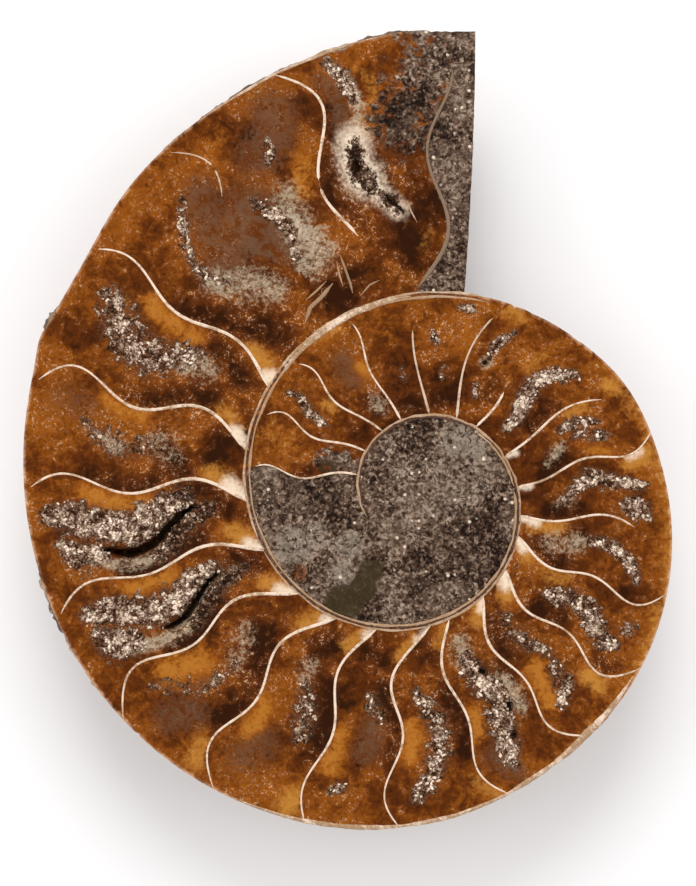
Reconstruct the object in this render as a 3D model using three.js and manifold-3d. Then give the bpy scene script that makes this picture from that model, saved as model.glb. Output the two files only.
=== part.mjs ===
// One half of an ammonite, sawn along the coil's middle plane and polished.
// The stone lies on its ribbed flank with the polished face level and up.
// Millimetres; +X right, +Y towards the mouth of the coil, +Z up.
import * as THREE from 'three';
import { mergeVertices } from 'three/addons/utils/BufferGeometryUtils.js';
import Module from 'manifold-3d';

const TURN = 2 * Math.PI;
const DEGREE = Math.PI / 180;

// ---- driving dimensions ----
const THICKNESS = 14.5; // polished face down to the resting flank
const MOUTH_ANGLE = 86 * DEGREE; // direction of the sawn mouth from the middle of the coil
const MOUTH_LEAN = 2 * DEGREE; // how far the mouth's inner end leans round the coil

// The outer wall of the coil. Its radius falls as the coil winds inwards from the mouth,
// and sways a little because the coil was squeezed out of round in the rock.
const WALL = {
  size: 61.6,
  tighten: 0.1316, // per radian
  quicken: 0.0011, // per radian squared
  swayX: -0.0196,
  swayY: -0.0351,
  swayXGrowth: -0.0224,
  swayYGrowth: 0.0057,
};

// Flats and chips of the rim: place and spread in degrees round from the mouth, height in mm.
const CHIPS = [
  { at: 0, spread: 6, height: -1.1 },
  { at: 61, spread: 9, height: -0.9 },
  { at: 72.5, spread: 3, height: 0.5 },
  { at: 205, spread: 14, height: -0.45 },
  { at: 305, spread: 16, height: 0.5 },
];

const UMBILICUS = 0.22; // radius of the umbilical seam over the radius of the outer wall
const LEVEL_ARC = 200 * DEGREE; // the flank is pressed level over this much of the last whorl
const THINNING = 0.2; // per radian, how the older whorls thin
const CREST = 0.24; // where the flank is thickest, from the seam (0) to the outer wall (1)
const RIBS = 38; // in one turn
const RIB_HEIGHT = 0.35;

// Open pockets in the polished face: place round from the mouth and across the whorl
// (0 inner wall, 1 outer wall), half length across, half width round the coil, depth.
const POCKETS = [
  { at: 100.5 * DEGREE, across: 0.5, halfLength: 8.4, halfWidth: 2.1, depth: 3.2, sway: 2.4 },
  { at: 117 * DEGREE, across: 0.44, halfLength: 6.6, halfWidth: 2.1, depth: 3.2, sway: 2.4 },
];

// ---- mesh resolution ----
const COLUMNS = 180; // in one turn
const FLOOR_COLUMNS = 2 * COLUMNS; // columns down to the middle of the umbilicus
const SEAM_ROWS = 4; // rows of each whorl that the next whorl leaves open to view
const FLANK_ROWS = 8; // rows from there out to the edge of the polished face

function wallRadius(t) {
  const a = MOUTH_ANGLE + t;
  const sway = (WALL.swayX + WALL.swayXGrowth * t) * Math.cos(a)
    + (WALL.swayY + WALL.swayYGrowth * t) * Math.sin(a);
  let radius = WALL.size * Math.exp(-WALL.tighten * t - WALL.quicken * t * t + sway);
  for (const chip of CHIPS) {
    radius += chip.height * Math.exp(-(((t / DEGREE - chip.at) / chip.spread) ** 2));
  }
  return radius;
}

function halfWidth(t) {
  return THICKNESS * Math.exp(-THINNING * Math.max(0, t - LEVEL_ARC));
}

const seamRadius = (t) => UMBILICUS * wallRadius(t);

// How far across the whorl a radius lies: 0 at the umbilical seam, 1 at the outer wall.
const acrossWhorl = (t, radius) => (radius - seamRadius(t)) / (wallRadius(t) - seamRadius(t));

function seamDepth(t) {
  if (t > 2.2 * TURN) return 0.8 * halfWidth(t + TURN);
  return flankDepth(t + TURN, acrossWhorl(t + TURN, seamRadius(t)));
}

// Depth of the flank below the polished face.
function flankDepth(t, x) {
  const width = halfWidth(t);
  if (x < CREST) {
    const climb = Math.sqrt(1 - (1 - x / CREST) ** 2);
    return seamDepth(t) + (width - seamDepth(t)) * climb;
  }
  const fall = (x - CREST) / (1 - CREST);
  return width * (1 - fall ** 2.5) ** (1 / 1.9);
}

// Ribs curve forwards near the outer wall and fade out on the crest and at the face.
function rib(t, x) {
  const swing = 0.5 * Math.sin(Math.PI * 1.7 * x) + 1.1 * x * x;
  const wave = Math.cos(RIBS * t + 2.4 * swing);
  const fade = THREE.MathUtils.smoothstep(x, 0.3, 0.5) * (1 - THREE.MathUtils.smoothstep(x, 0.85, 1));
  return RIB_HEIGHT * fade * wave;
}

function point(t, radius, z) {
  const a = MOUTH_ANGLE + t;
  return [radius * Math.cos(a), radius * Math.sin(a), z];
}

// ---- the back: one strip of columns wound round the middle ----
const vertices = [];
const triangles = [];

function addVertex(xyz) {
  vertices.push(...xyz);
  return vertices.length / 3 - 1;
}

function addQuad(a, b, c, d) {
  triangles.push(a, c, b, a, d, c);
}

function columnPoint(column, row) {
  const t = (column / COLUMNS) * TURN;
  const open = acrossWhorl(t, seamRadius(t - TURN));
  if (row <= SEAM_ROWS) {
    const x = open * (row / SEAM_ROWS) ** 1.5;
    const radius = seamRadius(t) + x * (wallRadius(t) - seamRadius(t));
    return point(t, radius, -flankDepth(t, x) - rib(t, x));
  }
  const turn = (row - SEAM_ROWS) / FLANK_ROWS;
  const x = open + (1 - open) * Math.sin(turn * Math.PI / 2) ** 0.9;
  const edge = 1 - turn;
  const radius = seamRadius(t) + x * (wallRadius(t) - seamRadius(t)) + rib(t, x) * (1 - edge);
  const lean = MOUTH_LEAN * THREE.MathUtils.smoothstep(t, 0.93 * TURN, TURN) * turn;
  const depth = row === SEAM_ROWS + FLANK_ROWS ? 0 : flankDepth(t, x) + rib(t, x) * edge;
  return point(t - lean, radius, -depth);
}

const ids = [];
for (let column = 0; column <= FLOOR_COLUMNS; column += 1) {
  const lastRow = column <= COLUMNS ? SEAM_ROWS + FLANK_ROWS : SEAM_ROWS;
  ids.push([]);
  for (let row = 0; row <= lastRow; row += 1) {
    // A whorl's covered edge is the seam of the whorl wound over it.
    const shared = row === SEAM_ROWS && column >= COLUMNS;
    ids[column].push(shared ? ids[column - COLUMNS][0] : addVertex(columnPoint(column, row)));
  }
}

for (let column = 0; column < FLOOR_COLUMNS; column += 1) {
  const lastRow = column < COLUMNS ? SEAM_ROWS + FLANK_ROWS : SEAM_ROWS;
  for (let row = 0; row < lastRow; row += 1) {
    addQuad(ids[column][row], ids[column][row + 1], ids[column + 1][row + 1], ids[column + 1][row]);
  }
}

// The middle of the umbilicus is closed by a fan round one point.
const middle = addVertex([0, 0, -0.85 * halfWidth(2 * TURN)]);
const ring = [];
for (let column = FLOOR_COLUMNS - COLUMNS; column <= FLOOR_COLUMNS; column += 1) {
  ring.push(ids[column][0]);
}
for (let row = 1; row <= SEAM_ROWS; row += 1) ring.push(ids[FLOOR_COLUMNS][row]);
for (let i = 0; i < ring.length - 1; i += 1) triangles.push(middle, ring[i + 1], ring[i]);

// ---- flat faces ----
function fillFlat(outline, flatten) {
  const shape = outline.map((id) => flatten(vertices.slice(3 * id, 3 * id + 3)));
  for (const [a, b, c] of THREE.ShapeUtils.triangulateShape(shape, [])) {
    const turn = (shape[b].x - shape[a].x) * (shape[c].y - shape[a].y)
      - (shape[b].y - shape[a].y) * (shape[c].x - shape[a].x);
    const [p, q] = turn > 0 ? [b, c] : [c, b];
    triangles.push(outline[a], outline[p], outline[q]);
  }
}

const top = SEAM_ROWS + FLANK_ROWS;
const rim = [];
for (let column = 0; column <= COLUMNS; column += 1) rim.push(ids[column][top]);
fillFlat(rim, ([x, y]) => new THREE.Vector2(x, y));

// The sawn mouth: from the last whorl's section in to the older whorl that it was wound on.
const mouth = [...ids[0]];
for (let row = top; row > SEAM_ROWS; row -= 1) mouth.push(ids[COLUMNS][row]);
fillFlat(mouth, ([x, y, z]) => new THREE.Vector2(Math.hypot(x, y), z));

// ---- pockets, cut out of the stone ----
const wasm = await Module();
wasm.setup();

function solidOf(geometry) {
  geometry.deleteAttribute('normal');
  geometry.deleteAttribute('uv');
  const merged = mergeVertices(geometry, 1e-4);
  return new wasm.Manifold(new wasm.Mesh({
    numProp: 3,
    vertProperties: Float32Array.from(merged.attributes.position.array),
    triVerts: Uint32Array.from(merged.index.array),
  }));
}

// A long hollow that follows the bend of the chamber it lies in.
function pocketSolid(pocket) {
  const geometry = new THREE.SphereGeometry(1, 20, 12);
  const inner = wallRadius(pocket.at + TURN);
  const outer = wallRadius(pocket.at);
  const radius = inner + pocket.across * (outer - inner);
  const position = geometry.attributes.position;
  for (let i = 0; i < position.count; i += 1) {
    const along = position.getX(i);
    const sway = pocket.sway * Math.sin(Math.PI / 2 * along);
    const side = position.getZ(i) * pocket.halfWidth - sway;
    const [x, y, z] = point(
      pocket.at - side / radius,
      radius + along * pocket.halfLength,
      position.getY(i) * pocket.depth,
    );
    position.setXYZ(i, x, y, z);
  }
  return solidOf(geometry);
}

const stoneGeometry = new THREE.BufferGeometry();
stoneGeometry.setAttribute('position', new THREE.Float32BufferAttribute(vertices, 3));
stoneGeometry.setIndex(triangles);
let stone = solidOf(stoneGeometry);
for (const pocket of POCKETS) stone = stone.subtract(pocketSolid(pocket));

// ---- the finished piece ----
const mesh = stone.getMesh();
const geometry = new THREE.BufferGeometry();
geometry.setAttribute('position', new THREE.Float32BufferAttribute(mesh.vertProperties, 3));
geometry.setIndex(Array.from(mesh.triVerts));
geometry.computeBoundingBox();
const { min, max } = geometry.boundingBox;
geometry.translate(-(min.x + max.x) / 2, -(min.y + max.y) / 2, -min.z);
geometry.computeVertexNormals();

const half = new THREE.Mesh(
  geometry,
  new THREE.MeshStandardMaterial({ color: 0x8c5524, roughness: 0.35, metalness: 0 }),
);
half.name = 'ammonite_half';

const group = new THREE.Group();
group.add(half);
export default group;
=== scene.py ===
"""Half of an ammonite, sawn along the middle plane of its coil and polished.

One stone: a whorl wound over older whorls, cream walls between its chambers, amber calcite with
bands of small crystals in the chambers, and grey matrix in the middle and at the mouth. The
polished face is level and up. Metres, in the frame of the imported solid.
"""

import math

import bmesh
import bpy
import numpy as np
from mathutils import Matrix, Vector
from mathutils.geometry import delaunay_2d_cdt


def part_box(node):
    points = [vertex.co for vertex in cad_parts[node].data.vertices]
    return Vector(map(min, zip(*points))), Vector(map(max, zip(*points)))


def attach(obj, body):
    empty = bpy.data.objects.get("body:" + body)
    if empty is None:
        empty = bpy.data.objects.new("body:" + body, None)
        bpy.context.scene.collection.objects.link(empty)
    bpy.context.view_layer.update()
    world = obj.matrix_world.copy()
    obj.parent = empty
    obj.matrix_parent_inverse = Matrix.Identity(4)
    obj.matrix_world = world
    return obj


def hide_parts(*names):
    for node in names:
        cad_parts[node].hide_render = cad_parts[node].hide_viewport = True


bl_info = {
    "name": "Ammonite Half",
    "version": (1, 0, 0),
    "blender": (4, 5, 0),
    "location": "View3D > Sidebar > Ammonite",
    "description": "Builds a sawn and polished half of an ammonite",
    "category": "Add Mesh",
}

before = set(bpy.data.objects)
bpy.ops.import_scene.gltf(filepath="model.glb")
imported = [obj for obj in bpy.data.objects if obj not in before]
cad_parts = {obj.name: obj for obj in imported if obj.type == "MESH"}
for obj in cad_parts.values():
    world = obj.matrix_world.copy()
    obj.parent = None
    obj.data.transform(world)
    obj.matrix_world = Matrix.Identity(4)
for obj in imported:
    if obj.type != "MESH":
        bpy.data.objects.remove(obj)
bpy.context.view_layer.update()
STONE_NODE = "ammonite_half"
FACE_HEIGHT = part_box(STONE_NODE)[1].z

TURN = 2 * math.pi
MILLIMETRE = 0.001

# Columns round one whorl and rows across the sheets that the coil is wound from.
COLUMNS = 600
FACE_ROWS = (56, 28, 16)
SEAM_ROWS = 8
FLANK_ROWS = 28
# The back is wound for two turns and a half.
BACK_COLUMNS = 1500

# Turns back from the mouth between which the face's lean comes and goes.
LEAN_SPREAD = 0.07 * TURN
LEAN_START = 0.93 * TURN
LEAN_END = 1.07 * TURN
# Share of the back's flank at which its lean starts, which is where the face begins.
LEAN_SEAM = 0.366

# The back stays this far above the surface that the stone lies on, before it is worn.
FLOOR_GAP = 0.0001
# Depth of the pits where crystals show, and of the wear of the shell on the back.
PIT_DEPTH = 0.0006
WEAR_DEPTH = 0.0003
# Edges sharper than these angles in degrees stay sharp.
STONE_SHARP = 48
FLAKE_SHARP = 50
# From this value of 'back' on a point is of the back, and it is given no chamber's filling.
BACK_FROM = 0.9
NO_CHAMBER = -9
# How far beyond the first and the last chamber wall, in radians, the chambers are counted.
BEYOND_WALLS = 0.35
# Points of a stroke and of a scrap of shell, for each stretch between two given points.
STROKE_STEPS = 14
SCRAP_STEPS = 9
# A stroke fades out to this many times its half width.
STROKE_FADE = 1.35

# The sawn mouth's fill: distance between its points, their jitter and its grain.
MOUTH_STEP = 0.0007
MOUTH_JITTER = 0.22
MOUTH_GRAIN = 0.00009

# How deep things are sunk into the face at full strength, and the chambers with deep pockets.
POCKET_DEPTH = 0.0026
SLOT_DEPTH = 0.0012
DRUSE_DEPTH = 0.00016
ROCK_DEPTH = 0.00008
POCKET_CHAMBERS = (5, 6)
# How far the pale rim and the golden band inside it reach in from the outer wall.
RIM_REACH = 0.00035
BAND_REACH = 0.0016
# Degrees between which the golden band comes and goes.
BAND_COMES = (190, 225)
BAND_GOES = (300, 335)

# Points along a chamber wall; degrees between the points of a whorl's shell, and how many of
# these points its drift takes to change; degrees between the seam's dots.
WALL_POINTS = 64
SHELL_STEP = 0.6
DRIFT_POINTS = 8
DOT_STEP = 2.2
# How flat the ribbons of shell are, and the size of the seam's dots.
WALL_FLATNESS = 0.2
WHORL_FLATNESS = 0.22
DOT_SIZE = 0.00016
# Crystals: how many on a square metre at most, and the least and the largest radius.
CRYSTALS = {"Density": 2.6e7, "Smallest": 0.00006, "Largest": 0.00026}
CRYSTAL_SEED = 3

# ---------------------------------------------------------------------------------------------
# The chamber walls and what fills the chambers
# ---------------------------------------------------------------------------------------------

# Chamber walls, youngest first: degrees back from the mouth at the inner and at the outer end,
# how far the wall bows, skews and waves in between, and the stretch of it that is left.
CHAMBER_WALLS = (
    (13, 4.5, -4, -2, -2.6, 0.02, 0.85),
    (24, 26, -2, 0.7, -2.7, 0.27, 1),
    (37, 43.5, 0, 0.5, -2.9, 0.69, 0.97),
    (62, 59, -3, -0.8, -2, 0, 0.97),
    (81, 79, -5, -0.9, -3, 0, 0.97),
    (95.5, 93.5, -3.3, -0.9, -2.3, 0, 0.97),
    (111, 112, -4.7, -0.6, -2, 0, 0.97),
    (128, 129, -6.7, -0.9, -2.9, 0, 1),
    (143, 146, -6, -1.3, -2.8, 0, 1),
    (157.5, 161, -2.8, -1.7, -2.2, 0, 1),
    (178.5, 176.5, -6.5, -2.8, -3.1, 0, 1),
    (187, 196.5, -4, -1, -2.2, 0, 1),
    (206, 215.5, -5.6, -0.9, -2.7, 0, 1),
    (224.5, 233, -5.6, -0.3, -3.2, 0, 1),
    (246, 250.5, -5.5, -0.8, -3, 0, 1),
    (260, 258, 7, -2, -1, 0, 0.75),
    (281, 291, 1, 1.5, -1.8, 0, 1),
    (306.5, 300, 6, -1, -0.5, 0, 0.8),
    (338.5, 332, -2.5, -0.7, -1.3, 0, 0.35),
    (354, 346, 5, 0, 0, 0, 0.85),
    (373.5, 372, 3, 0, 0, 0, 0.7),
    (393, 393, 0.3, 1, -0.9, 0, 0.9),
    (407, 414.5, 0.7, 2.4, -1.3, 0, 0.9),
    (424, 433.5, -1, 2.8, -1.8, 0, 0.9),
    (440, 447.5, 1.4, 1.3, -1.7, 0, 0.9),
)
MATRIX_CHAMBER = 24
# Walls that are broken, and the stretch that is missing.
WALL_GAPS = {1: (0.5, 0.54), 2: (0.79, 0.82)}
# Walls that are stained, and how much; and a wall that is thinner than its neighbours.
WALL_STAINS = {0: 1.7, 2: 0.35, 19: 0.35, 20: 0.35}
THIN_WALLS = {2: 0.7}

# What a chamber holds, as soft strokes. A stroke is a kind, a half width in mm, a strength and
# the points that it runs through: share of the chamber's width from its younger wall, and share
# of the whorl's height from its inner wall.
CHAMBER_STROKES = {
    0: (
        ("murk", 6.0, 0.9, (0.05, 0.95), (0.2, 0.8), (0.25, 0.65)),
        ("druse", 1.2, 0.9, (0.74, 0.97), (0.76, 0.88), (0.76, 0.78)),
        ("milk", 1.4, 0.7, (0.72, 0.8), (0.68, 0.66)),
        ("golden", 1.2, 0.6, (0.62, 0.9), (0.6, 0.78), (0.62, 0.66)),
        ("milk", 3.4, 0.9, (0.68, 0.62), (0.6, 0.5), (0.54, 0.42)),
        ("cream", 3.3, 1.0, (0.68, 0.63), (0.62, 0.53), (0.58, 0.47)),
        ("cream", 2.1, 0.9, (0.52, 0.4), (0.46, 0.33)),
        ("cream", 1.2, 0.6, (0.6, 0.38), (0.54, 0.36)),
        ("druse", 1.8, 1.0, (0.67, 0.62), (0.61, 0.5), (0.56, 0.43)),
        ("druse", 1.3, 0.8, (0.52, 0.4), (0.46, 0.33)),
        ("dark", 1.5, 1.0, (0.66, 0.6), (0.62, 0.5), (0.56, 0.43)),
        ("cloud", 1.8, 0.8, (0.9, 0.9), (0.86, 0.72), (0.8, 0.66)),
        ("cream", 1.2, 0.7, (0.76, 0.94), (0.75, 0.86), (0.74, 0.78)),
        ("hole", 0.7, 0.8, (0.64, 0.57), (0.62, 0.5)),
        ("hole", 0.5, 0.8, (0.5, 0.4), (0.42, 0.31)),
        ("dark", 2.4, 0.8, (0.9, 0.75), (0.92, 0.5), (0.85, 0.3)),
        ("golden", 1.3, 0.5, (0.25, 0.22), (0.25, 0.17)),
        ("dark", 3.4, 0.75, (0.38, 0.45), (0.2, 0.42), (0.12, 0.3)),
        ("dark", 3.6, 0.6, (0.7, 0.3), (0.4, 0.14)),
    ),
    1: (
        ("cloud", 4.5, 0.8, (0.35, 0.87), (0.45, 0.78), (0.6, 0.74)),
        ("cloud", 6.0, 0.95, (0.75, 0.55), (0.9, 0.45), (0.7, 0.42)),
        ("druse", 1.1, 0.7, (0.5, 0.77), (0.52, 0.68)),
        ("druse", 1.2, 0.85, (0.72, 0.6), (0.62, 0.56), (0.5, 0.48), (0.55, 0.4), (0.8, 0.3)),
        ("milk", 3.3, 1.0, (0.34, 0.54), (0.42, 0.42), (0.58, 0.28), (0.9, 0.24)),
        ("cream", 1.4, 0.45, (0.38, 0.48), (0.46, 0.37), (0.56, 0.29)),
        ("dark", 3.0, 0.6, (0.6, 0.92), (0.75, 0.82)),
        ("glow", 2.2, 0.9, (0.14, 0.62), (0.2, 0.52)),
        ("glow", 3.0, 0.3, (0.72, 0.9), (0.9, 0.86)),
        ("dark", 2.6, 0.9, (0.9, 0.08), (0.6, 0.07), (0.4, 0.12)),
        ("dark", 2.2, 0.5, (0.15, 0.85), (0.1, 0.75)),
    ),
    2: (
        ("druse", 1.2, 0.65, (0.35, 0.8), (0.5, 0.68), (0.5, 0.52), (0.42, 0.42)),
        ("cloud", 3.6, 0.8, (0.2, 0.76), (0.2, 0.6)),
        ("cloud", 4.0, 0.85, (0.1, 0.5), (0.3, 0.48)),
        ("milk", 3.0, 0.9, (0.5, 0.46), (0.4, 0.36), (0.3, 0.24)),
        ("dark", 2.8, 0.9, (0.95, 0.5), (0.9, 0.35), (0.8, 0.2), (0.6, 0.1)),
        ("golden", 2.2, 1.0, (0.97, 0.14), (0.92, 0.02)),
        ("cream", 1.6, 1.0, (0.97, 0.03), (0.88, 0.0)),
        ("glow", 2.4, 0.25, (0.5, 0.95), (0.8, 0.92)),
    ),
    3: (
        ("druse", 3.3, 0.72, (0.35, 0.82), (0.5, 0.7), (0.5, 0.55), (0.36, 0.36)),
        ("milk", 2.2, 0.7, (0.5, 0.4), (0.52, 0.25)),
        ("glow", 1.9, 1.0, (0.12, 0.64), (0.1, 0.5), (0.14, 0.4)),
        ("dark", 2.2, 0.9, (0.93, 0.55), (0.9, 0.35), (0.85, 0.2)),
        ("dark", 1.8, 0.9, (0.2, 0.28), (0.35, 0.12)),
        ("golden", 1.8, 0.8, (0.88, 0.14), (0.9, 0.05)),
        ("cream", 1.5, 1.0, (0.93, 0.06), (1.0, 0.01)),
        ("dark", 2.0, 0.5, (0.75, 0.85), (0.6, 0.95)),
    ),
    4: (
        ("glow", 1.3, 0.9, (0.1, 0.66), (0.08, 0.48)),
        ("milk", 1.5, 0.9, (0.5, 0.64), (0.5, 0.56)),
        ("milk", 2.6, 0.6, (0.4, 0.42), (0.65, 0.32)),
        ("druse", 2.0, 0.45, (0.45, 0.75), (0.5, 0.6), (0.4, 0.4)),
        ("dark", 2.4, 0.9, (0.93, 0.68), (0.93, 0.5), (0.9, 0.3)),
        ("dark", 2.0, 0.8, (0.3, 0.12), (0.6, 0.15)),
        ("golden", 2.0, 1.0, (0.85, 0.14), (0.9, 0.05)),
        ("cream", 1.9, 1.0, (0.88, 0.07), (1.0, 0.01)),
        ("cloud", 3.4, 0.5, (0.3, 0.86), (0.3, 0.74)),
    ),
    5: (
        ("glow", 1.8, 1.0, (0.13, 0.72), (0.13, 0.6), (0.14, 0.46)),
        (
            "druse", 2.9, 1.0,
            (0.32, 0.9), (0.42, 0.78), (0.44, 0.62), (0.4, 0.5), (0.3, 0.38), (0.25, 0.28),
        ),
        ("druse", 2.2, 0.9, (0.6, 0.86), (0.78, 0.8), (0.74, 0.7)),
        ("milk", 1.1, 1.0, (0.82, 0.76), (0.86, 0.64), (0.84, 0.52), (0.76, 0.42)),
        ("milk", 0.7, 0.8, (0.52, 0.62), (0.56, 0.52)),
        ("druse", 1.9, 0.8, (0.86, 0.46), (0.72, 0.36), (0.55, 0.26), (0.4, 0.16)),
        ("dark", 1.5, 0.8, (0.8, 0.42), (0.66, 0.32), (0.5, 0.2)),
        ("hole", 0.85, 1.0, (0.7, 0.68), (0.72, 0.58), (0.66, 0.46), (0.5, 0.33), (0.4, 0.25)),
        ("dark", 2.0, 0.9, (0.12, 0.3), (0.2, 0.18), (0.4, 0.12)),
        ("dark", 1.6, 0.9, (0.95, 0.62), (0.95, 0.45), (0.85, 0.25)),
        ("golden", 1.9, 1.0, (0.75, 0.1), (0.82, 0.04)),
        ("cream", 1.4, 1.0, (0.92, 0.05), (1.0, 0.0)),
    ),
    6: (
        ("glow", 1.7, 1.0, (0.12, 0.64), (0.1, 0.52), (0.14, 0.42)),
        ("druse", 2.6, 1.0, (0.28, 0.86), (0.4, 0.72), (0.44, 0.56), (0.42, 0.42), (0.4, 0.25)),
        ("druse", 2.6, 0.95, (0.5, 0.86), (0.7, 0.8), (0.75, 0.72)),
        ("milk", 1.3, 1.0, (0.86, 0.75), (0.82, 0.66), (0.78, 0.54), (0.7, 0.42), (0.62, 0.3)),
        ("druse", 1.6, 0.8, (0.84, 0.46), (0.74, 0.34), (0.6, 0.2), (0.45, 0.12)),
        ("dark", 1.3, 0.8, (0.84, 0.46), (0.76, 0.34), (0.62, 0.2)),
        ("hole", 0.7, 1.0, (0.68, 0.58), (0.66, 0.47), (0.58, 0.36), (0.48, 0.24)),
        ("dark", 1.5, 1.0, (0.95, 0.6), (0.95, 0.45), (0.88, 0.3)),
        ("dark", 1.9, 0.9, (0.25, 0.14), (0.4, 0.08)),
        ("golden", 1.6, 1.0, (0.75, 0.08), (0.85, 0.02)),
        ("cream", 1.4, 1.0, (0.9, 0.05), (1.0, 0.0)),
    ),
    7: (
        ("glow", 3.2, 1.0, (0.18, 0.7), (0.18, 0.55)),
        ("milk", 2.2, 0.55, (0.45, 0.28), (0.55, 0.45)),
        ("cloud", 3.4, 0.8, (0.55, 0.84), (0.68, 0.76)),
        ("druse", 1.5, 0.45, (0.25, 0.8), (0.5, 0.6), (0.5, 0.4)),
        ("dark", 2.4, 1.0, (0.88, 0.7), (0.9, 0.55), (0.85, 0.4), (0.75, 0.25)),
        ("golden", 2.2, 0.9, (0.88, 0.92), (0.95, 0.85)),
        ("golden", 1.7, 0.9, (0.85, 0.1), (0.8, 0.04)),
        ("cream", 1.3, 0.9, (0.93, 0.03), (1.0, 0.0)),
    ),
    8: (
        ("glow", 1.9, 1.0, (0.1, 0.52), (0.18, 0.6), (0.2, 0.68)),
        ("milk", 2.0, 0.6, (0.55, 0.24), (0.55, 0.34)),
        ("druse", 1.9, 0.6, (0.55, 0.36), (0.62, 0.5), (0.66, 0.62)),
        ("cloud", 3.6, 0.7, (0.35, 0.8), (0.4, 0.7)),
        ("dark", 2.2, 0.95, (0.9, 0.66), (0.92, 0.5), (0.9, 0.35)),
        ("dark", 1.9, 0.8, (0.4, 0.15), (0.65, 0.12)),
        ("golden", 2.4, 1.0, (0.85, 0.95), (0.95, 0.88)),
        ("golden", 1.6, 0.9, (0.85, 0.11), (0.88, 0.04)),
        ("cream", 1.2, 0.8, (0.93, 0.04), (1.0, 0.0)),
    ),
    9: (
        ("glow", 1.8, 1.0, (0.1, 0.54), (0.13, 0.66), (0.2, 0.72)),
        ("druse", 1.1, 0.8, (0.34, 0.83), (0.48, 0.8)),
        ("druse", 1.4, 0.5, (0.68, 0.46), (0.6, 0.34)),
        ("cloud", 2.6, 0.8, (0.52, 0.62), (0.56, 0.5)),
        ("dark", 2.0, 0.95, (0.93, 0.66), (0.93, 0.5), (0.85, 0.3)),
        ("dark", 2.2, 0.8, (0.4, 0.13), (0.6, 0.15)),
        ("golden", 1.4, 0.9, (0.88, 0.13), (0.9, 0.06)),
        ("cream", 1.0, 0.7, (0.95, 0.06), (1.0, 0.0)),
    ),
    10: (
        ("glow", 1.8, 1.0, (0.14, 0.5), (0.14, 0.64)),
        ("druse", 1.9, 0.75, (0.3, 0.86), (0.48, 0.78), (0.55, 0.64), (0.52, 0.48), (0.42, 0.34)),
        ("dark", 2.0, 0.95, (0.92, 0.68), (0.9, 0.5), (0.9, 0.35)),
        ("dark", 2.0, 0.8, (0.4, 0.12), (0.7, 0.14)),
        ("golden", 1.8, 0.8, (0.93, 0.86), (0.97, 0.95)),
        ("golden", 1.3, 0.8, (0.9, 0.12), (0.92, 0.04)),
    ),
    11: (
        ("glow", 1.5, 1.0, (0.1, 0.52), (0.1, 0.64)),
        ("milk", 1.9, 0.8, (0.4, 0.13), (0.42, 0.25)),
        (
            "druse", 2.3, 1.0,
            (0.46, 0.24), (0.5, 0.36), (0.5, 0.5), (0.45, 0.63), (0.44, 0.76), (0.38, 0.86),
        ),
        ("milk", 1.5, 0.9, (0.72, 0.42), (0.76, 0.54), (0.78, 0.64)),
        ("hole", 0.6, 0.9, (0.6, 0.36), (0.58, 0.33)),
        ("hole", 0.6, 0.9, (0.62, 0.56), (0.6, 0.62)),
        ("hole", 0.7, 0.8, (0.52, 0.74), (0.6, 0.74)),
        ("dark", 1.6, 0.9, (0.88, 0.46), (0.9, 0.4)),
        ("cloud", 2.2, 0.7, (0.22, 0.78), (0.3, 0.92)),
        ("golden", 1.6, 1.0, (0.82, 0.08), (0.9, 0.03)),
        ("cream", 1.1, 0.9, (0.93, 0.05), (1.0, 0.0)),
    ),
    12: (
        ("druse", 1.5, 0.62, (0.55, 0.17), (0.5, 0.27), (0.5, 0.36), (0.54, 0.5)),
        ("druse", 1.6, 0.7, (0.5, 0.56), (0.48, 0.64), (0.52, 0.7), (0.32, 0.76)),
        ("glow", 2.0, 1.0, (0.25, 0.5), (0.16, 0.6), (0.2, 0.7)),
        ("dark", 1.9, 0.8, (0.12, 0.36), (0.2, 0.16)),
        ("golden", 1.8, 1.0, (0.85, 0.84), (0.9, 0.76)),
        ("golden", 1.8, 1.0, (0.75, 0.09), (0.85, 0.03)),
        ("cream", 1.5, 1.0, (0.82, 0.05), (0.95, 0.0)),
    ),
    13: (
        (
            "druse", 1.8, 0.95,
            (0.5, 0.3), (0.5, 0.42), (0.48, 0.53), (0.4, 0.62), (0.36, 0.7), (0.4, 0.8),
        ),
        ("druse", 1.2, 0.6, (0.7, 0.86), (0.6, 0.8)),
        ("dark", 1.9, 0.9, (0.12, 0.42), (0.15, 0.3)),
        ("dark", 1.6, 0.9, (0.12, 0.85), (0.12, 0.78)),
        ("golden", 1.7, 0.7, (0.85, 0.34), (0.88, 0.22)),
        ("golden", 1.6, 0.8, (0.85, 0.97), (0.7, 0.97)),
        ("golden", 1.4, 1.0, (0.8, 0.09), (0.9, 0.03)),
        ("cream", 1.2, 1.0, (0.88, 0.05), (1.0, 0.0)),
    ),
    14: (
        ("milk", 2.2, 0.75, (0.55, 0.2), (0.55, 0.4)),
        ("druse", 1.2, 0.9, (0.55, 0.46), (0.55, 0.6), (0.5, 0.74), (0.3, 0.8)),
        ("dark", 1.6, 0.8, (0.12, 0.3), (0.3, 0.12)),
        ("dark", 1.6, 0.5, (0.15, 0.85), (0.1, 0.75)),
        ("golden", 1.6, 0.9, (0.85, 0.25), (0.85, 0.08)),
        ("cream", 1.1, 1.0, (0.9, 0.1), (0.97, 0.02)),
    ),
    15: (
        (
            "druse", 1.3, 0.9,
            (0.38, 0.3), (0.52, 0.38), (0.68, 0.48), (0.56, 0.6), (0.6, 0.72), (0.6, 0.86),
        ),
        ("druse", 1.7, 1.0, (0.27, 0.7), (0.28, 0.84)),
        ("milk", 1.3, 0.5, (0.35, 0.25), (0.4, 0.35)),
        ("dark", 1.5, 0.8, (0.1, 0.4), (0.25, 0.2)),
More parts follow.
